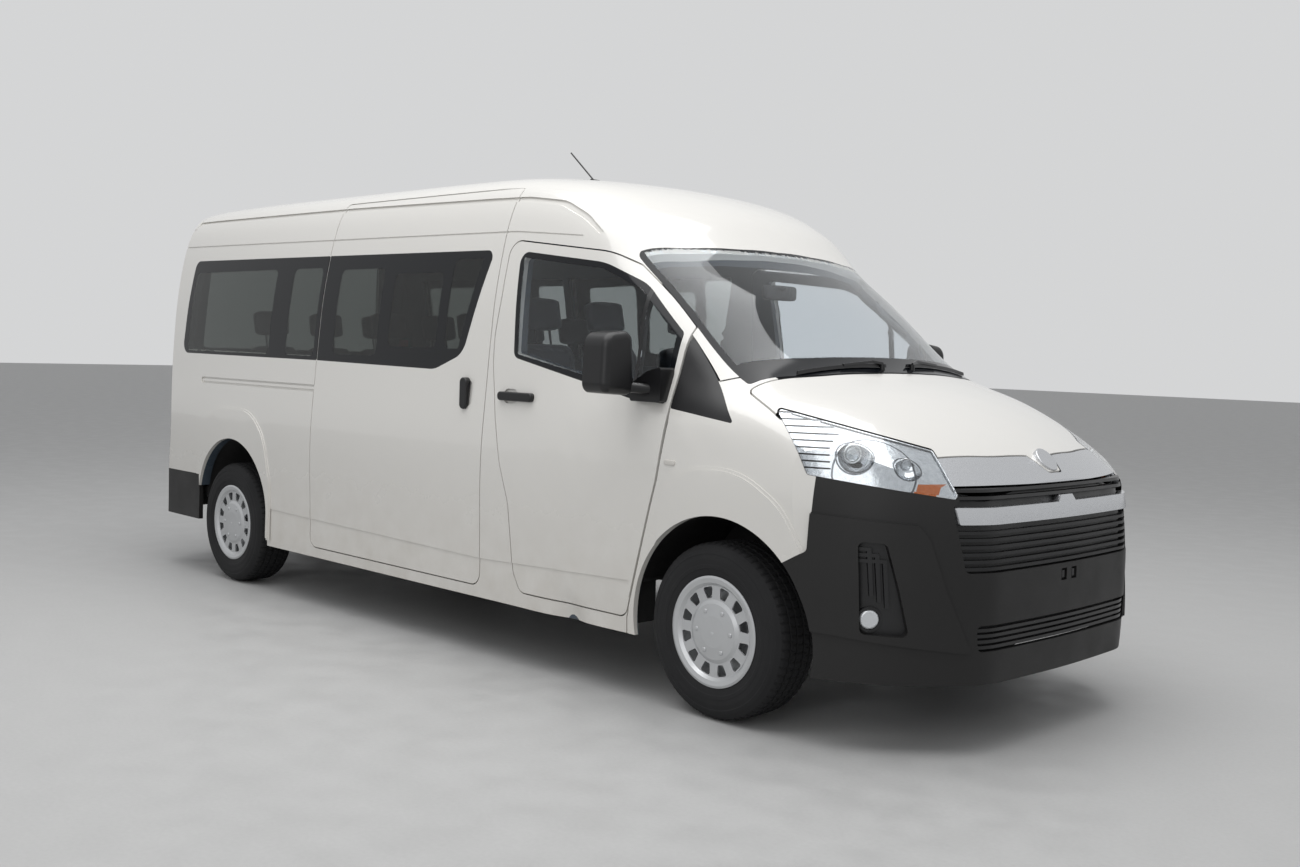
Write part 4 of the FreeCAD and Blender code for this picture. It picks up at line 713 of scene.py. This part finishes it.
class MINIBUS_OT_seats(bpy.types.Operator):
    """Upholstered seats: cushion, back and head restraint of each place, filled by a short cloth run"""
    bl_idname = "minibus.seats"
    bl_label = "Seats"

    # Name, X of the back's foot, right and left end, places, and height above the cabin's floor level
    rows = (("driver_seat", 0.560, 0.190, 0.700, 1, 0.060), ("front_bench", 0.560, -0.760, 0.090, 2, 0.060),
            ("row_one", -0.480, -0.330, 0.780, 3, 0.0), ("row_two", -1.340, -0.330, 0.780, 3, 0.0),
            ("row_three", -2.290, -0.600, 0.600, 3, 0.0))
    floor_top = 0.520
    lean = math.radians(-12)
    place_width = 0.42

    def execute(self, context):
        cap = context.scene.minibus_sizes.swell
        cloth = NODES["driver_seat"].data.materials[0]
        shell = grained("seat shell", (0.035, 0.035, 0.038), 0.55, scale=900.0, strength=0.4)
        cushion = self.stuffed(context, "cushion", (0.235, 0.185, 0.048), cap)
        back = self.stuffed(context, "back", (0.040, 0.185, 0.295), cap)
        rest = self.stuffed(context, "rest", (0.030, 0.115, 0.075), cap * 0.5)
        cosine, sine = math.cos(self.lean), math.sin(self.lean)
        turn = np.array([[cosine, 0, sine], [0, 1, 0], [-sine, 0, cosine]])
        for name, x, low, high, places, lift in self.rows:
            pitch = (high - low) / places
            top = self.floor_top
            pads, frames = [], []
            foot = np.array([x + 0.060, 0, top + 0.300 + lift])
            for k in range(places):
                middle = low + pitch * (k + 0.5)
                wide = np.array([1, pitch / self.place_width, 1])
                pads.append((cushion[0] * wide + [x + 0.250, middle, top + 0.315 + lift], cushion[1]))
                pads.append(((back[0] * wide + [-0.055, 0, 0.320]) @ turn.T + foot + [0, middle, 0], back[1]))
                pads.append(((rest[0] + [-0.052, 0, 0.742]) @ turn.T + foot + [0, middle, 0], rest[1]))
                for side in (-0.045, 0.045):
                    post, quads = rounded_box((0.006, 0.006, 0.06), 2.5, 8, 12, (-0.052, side, 0.640))
                    frames.append((post @ turn.T + foot + [0, middle, 0], quads))
            plate = (x + 0.25, (low + high) / 2, top + 0.245 + lift)
            frames.append(rounded_box((0.20, (high - low) / 2 - 0.03, 0.018), 8.0, 16, 32, plate))
            for across in (low + 0.06, high - 0.06):
                leg = (x + 0.25, across, top + 0.120 + lift)
                frames.append(rounded_box((0.17, 0.02, 0.118), 8.0, 16, 24, leg))
            points, faces = joined(pads)
            obj = piece(name + "_pads", points, faces, "body", cloth)
            points, faces = joined(frames)
            base = welded(piece(name + "_frame", points, faces, "body", shell))
            node = name if name in NODES else "rear_seats"
            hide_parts(node)
        return {"FINISHED"}

    def stuffed(self, context, name, half, cap):
        """Box remeshed fine and blown up by pressure, no point moved further than the cap; then the seams
        are drawn in: depth times exp(-((t - place) / width) squared)."""
        scene = context.scene
        points, faces = rounded_box(half, 7.0, 40, 64)
        mesh = bpy.data.meshes.new(name)
        mesh.from_pydata(points.tolist(), [], faces.tolist())
        obj = bpy.data.objects.new(name, mesh)
        scene.collection.objects.link(obj)
        welded(obj)
        remesh = obj.modifiers.new("fine", "REMESH")
        remesh.mode = "VOXEL"
        remesh.voxel_size = 0.0105
        obj = self.applied(context, obj)
        rest = self.points_of(obj.data)
        moved = rest
        cloth = obj.modifiers.new("filling", "CLOTH")
        cloth.settings.use_pressure = True
        cloth.settings.uniform_pressure_force = 4.0
        cloth.settings.effector_weights.gravity = 0.0
        cloth.settings.quality = 5
        for step in range(1, 21):
            scene.frame_set(step)
        ready = obj.evaluated_get(context.evaluated_depsgraph_get())
        moved = self.points_of(ready.data)
        scene.frame_set(1)
        away = moved - rest
        length = np.linalg.norm(away, axis=1, keepdims=True)
        moved = rest + away * np.minimum(1, cap / np.maximum(length, 1e-9))
        across = moved[:, 1] / half[1]
        seam = np.exp(-((np.abs(across) - 0.62) / 0.035) ** 2)
        thin = int(np.argmin(half))
        if name != "rest":
            moved[:, thin] -= np.sign(moved[:, thin]) * 0.007 * seam
        if thin == 2:
            seam = np.exp(-((moved[:, 0] / half[0] - 0.1) / 0.03) ** 2)
            moved[:, 2] -= np.where(moved[:, 2] > 0, 0.005 * seam, 0)
        quads = np.zeros(len(obj.data.loops), dtype=np.int32)
        obj.data.loops.foreach_get("vertex_index", quads)
        bpy.data.objects.remove(obj)
        return moved, quads.reshape(-1, 4)

    def applied(self, context, obj):
        """The object with its modifiers applied."""
        ready = obj.evaluated_get(context.evaluated_depsgraph_get())
        mesh = bpy.data.meshes.new_from_object(ready)
        obj.modifiers.clear()
        obj.data = mesh
        return obj

    def points_of(self, mesh):
        """The mesh's points as an array."""
        flat = np.zeros(len(mesh.vertices) * 3)
        mesh.vertices.foreach_get("co", flat)
        return flat.reshape(-1, 3)


class MINIBUS_OT_cabin(bpy.types.Operator):
    """Inner mirror, sun visors, vents and console of the cabin"""
    bl_idname = "minibus.cabin"
    bl_label = "Cabin"

    def execute(self, context):
        grey = NODES["dashboard"].data.materials[0]
        dark = grained("cabin black", (0.016, 0.016, 0.018), 0.3, scale=700.0, strength=0.2)
        pale = grained("headlining", (0.13, 0.145, 0.16), 0.85, scale=500.0, strength=0.3)
        silver = brushed("inner mirror", (0.75, 0.77, 0.78), 0.08)
        mirror = joined([rounded_box((0.012, 0.115, 0.034), 6.0, 16, 40, (1.455, 0, 1.715)),
                         rounded_box((0.02, 0.012, 0.012), 3.0, 8, 16, (1.475, 0, 1.735))])
        self.add("inner_mirror", mirror, dark, "black_plastic")
        pane_of = rounded_box((0.002, 0.108, 0.028), 6.0, 10, 40, (1.4425, 0, 1.715))
        self.add("inner_mirror_glass", pane_of, silver, "lamp_bright")
        for side, sign in SIDES:
            visor = rounded_box((0.085, 0.19, 0.009), 6.0, 14, 40, (1.24, sign * 0.42, 1.865))
            self.add("sun_visor_" + side, visor, pale, "dash_plastic")
        vents = []
        for y in (-0.74, -0.12, 0.12, 0.74):
            for k in range(4):
                vents.append(rounded_box((0.006, 0.058, 0.003), 5.0, 6, 20, (1.533, y, 1.150 + k * 0.013)))
        self.add("air_vents", joined(vents), dark, "black_plastic")
        console = [rounded_box((0.012, 0.100, 0.060), 9.0, 12, 40, (1.510, 0.0, 1.085)),
                   rounded_box((0.05, 0.16, 0.16), 7.0, 16, 40, (1.545, 0.0, 0.80))]
        self.add("centre_console", joined(console), dark, "dash_plastic")
        for side, sign in SIDES:
            self.add("grab_handle_" + side, self.bow(sign), pale, "dash_plastic")
        lid = rounded_box((0.008, 0.19, 0.07), 9.0, 12, 40, (1.522, -0.45, 0.99))
        self.add("glove_lid", lid, grey, "dash_plastic")
        return {"FINISHED"}

    def bow(self, sign):
        """Tube on the windscreen pillar: a round section carried along half a sine wave."""
        steps, around = 24, 14
        along = np.linspace(0, 1, steps)[:, None]
        turn = np.linspace(0, 2 * np.pi, around, endpoint=False)[None, :]
        thick = 0.012 * np.sin(np.pi * np.clip(along, 0.02, 0.98)) ** 0.2
        x = 1.43 + 0.20 * along + thick * np.cos(turn) * 0.6
        y = 0.775 - 0.045 * np.sin(np.pi * along) + thick * np.sin(turn)
        z = 1.72 - 0.17 * along + thick * np.cos(turn) * 0.8
        points = np.stack([x, sign * y, z], -1).reshape(-1, 3)
        ends = np.stack([points[:around].mean(0), points[-around:].mean(0)])
        ring = np.arange(around)
        caps = [np.stack([np.full(around, len(points) + k), base + ring, base + (ring + 1) % around], -1)
                for k, base in ((0, 0), (1, len(points) - around))]
        faces = list(grid_faces(steps, around, wrap_rows=False)) + list(np.concatenate(caps))
        return np.concatenate([points, ends]), faces

    def add(self, name, shape, made, slot):
        """Fixed piece of the cabin with one material; its slot is not used."""
        obj = welded(piece(name, shape[0], shape[1], "body", made))


class MINIBUS_OT_trim(bpy.types.Operator):
    """Wheel nuts, side repeaters and the glass of the outer mirrors"""
    bl_idname = "minibus.trim"
    bl_label = "Small trim"

    def execute(self, context):
        lens = grained("repeater lens", (0.66, 0.64, 0.60), 0.18, scale=300.0, strength=0.1)
        mirror = grained("mirror glass", (0.82, 0.84, 0.85), 0.04, 0.98, scale=20.0, strength=0.01)
        silver = NODES["wheel_front_left"].data.materials[0]
        count, circle = 6, 0.088
        for body, centre in WHEELS.items():
            outward = math.copysign(0.109, centre[1])
            nuts = []
            for k in range(count):
                angle = 2 * math.pi * k / count
                spot = np.array(centre) + [circle * math.cos(angle), outward, circle * math.sin(angle)]
                nuts.append(rounded_box((0.009, 0.004, 0.009), 3.0, 8, 12, spot))
            obj = welded(piece(body.replace("wheel", "nuts"), *joined(nuts), body, silver))
        for side, sign in SIDES:
            repeater = rounded_box((0.030, 0.006, 0.010), 5.0, 10, 30, (1.736, sign * 0.972, 0.993))
            obj = welded(piece("repeater_" + side, *repeater, "body", lens))
            glass = rounded_box((0.002, 0.072, 0.105), 7.0, 12, 40, (1.4605, sign * 1.112, 1.382))
            obj = welded(piece("mirror_glass_" + side, *glass, "front_door_" + side, mirror))
        return {"FINISHED"}


class MINIBUS_PT_panel(bpy.types.Panel):
    """Lists the steps that dress the minibus"""
    bl_label = "Minibus"
    bl_idname = "MINIBUS_PT_panel"
    bl_space_type = "VIEW_3D"
    bl_region_type = "UI"
    bl_category = "Minibus"

    def draw(self, context):
        for step in STEPS:
            self.layout.operator(step.bl_idname)
        scene = context.scene
        for group in (scene.minibus_finish, scene.minibus_sizes, scene.minibus_stage):
            for key in group.__annotations__:
                self.layout.prop(group, key)


STEPS = (MINIBUS_OT_finish, MINIBUS_OT_glazing, MINIBUS_OT_tyres, MINIBUS_OT_lamps, MINIBUS_OT_seats,
         MINIBUS_OT_cabin, MINIBUS_OT_trim, MINIBUS_OT_stage)
CLASSES = (MinibusFinish, MinibusSizes, MinibusStage, *STEPS, MINIBUS_PT_panel)


def register():
    for cls in CLASSES:
        bpy.utils.register_class(cls)
    bpy.types.Scene.minibus_finish = PointerProperty(type=MinibusFinish)
    bpy.types.Scene.minibus_sizes = PointerProperty(type=MinibusSizes)
    bpy.types.Scene.minibus_stage = PointerProperty(type=MinibusStage)


def unregister():
    del bpy.types.Scene.minibus_stage
    del bpy.types.Scene.minibus_sizes
    del bpy.types.Scene.minibus_finish
    for cls in reversed(CLASSES):
        bpy.utils.unregister_class(cls)


def main():
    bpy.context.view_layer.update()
    register()
    bpy.ops.minibus.finish()
    bpy.ops.minibus.glazing()
    bpy.ops.minibus.tyres()
    bpy.ops.minibus.lamps()
    bpy.ops.minibus.seats()
    bpy.ops.minibus.cabin()
    bpy.ops.minibus.trim()
    bpy.ops.minibus.stage()


if __name__ == "__main__":
    main()
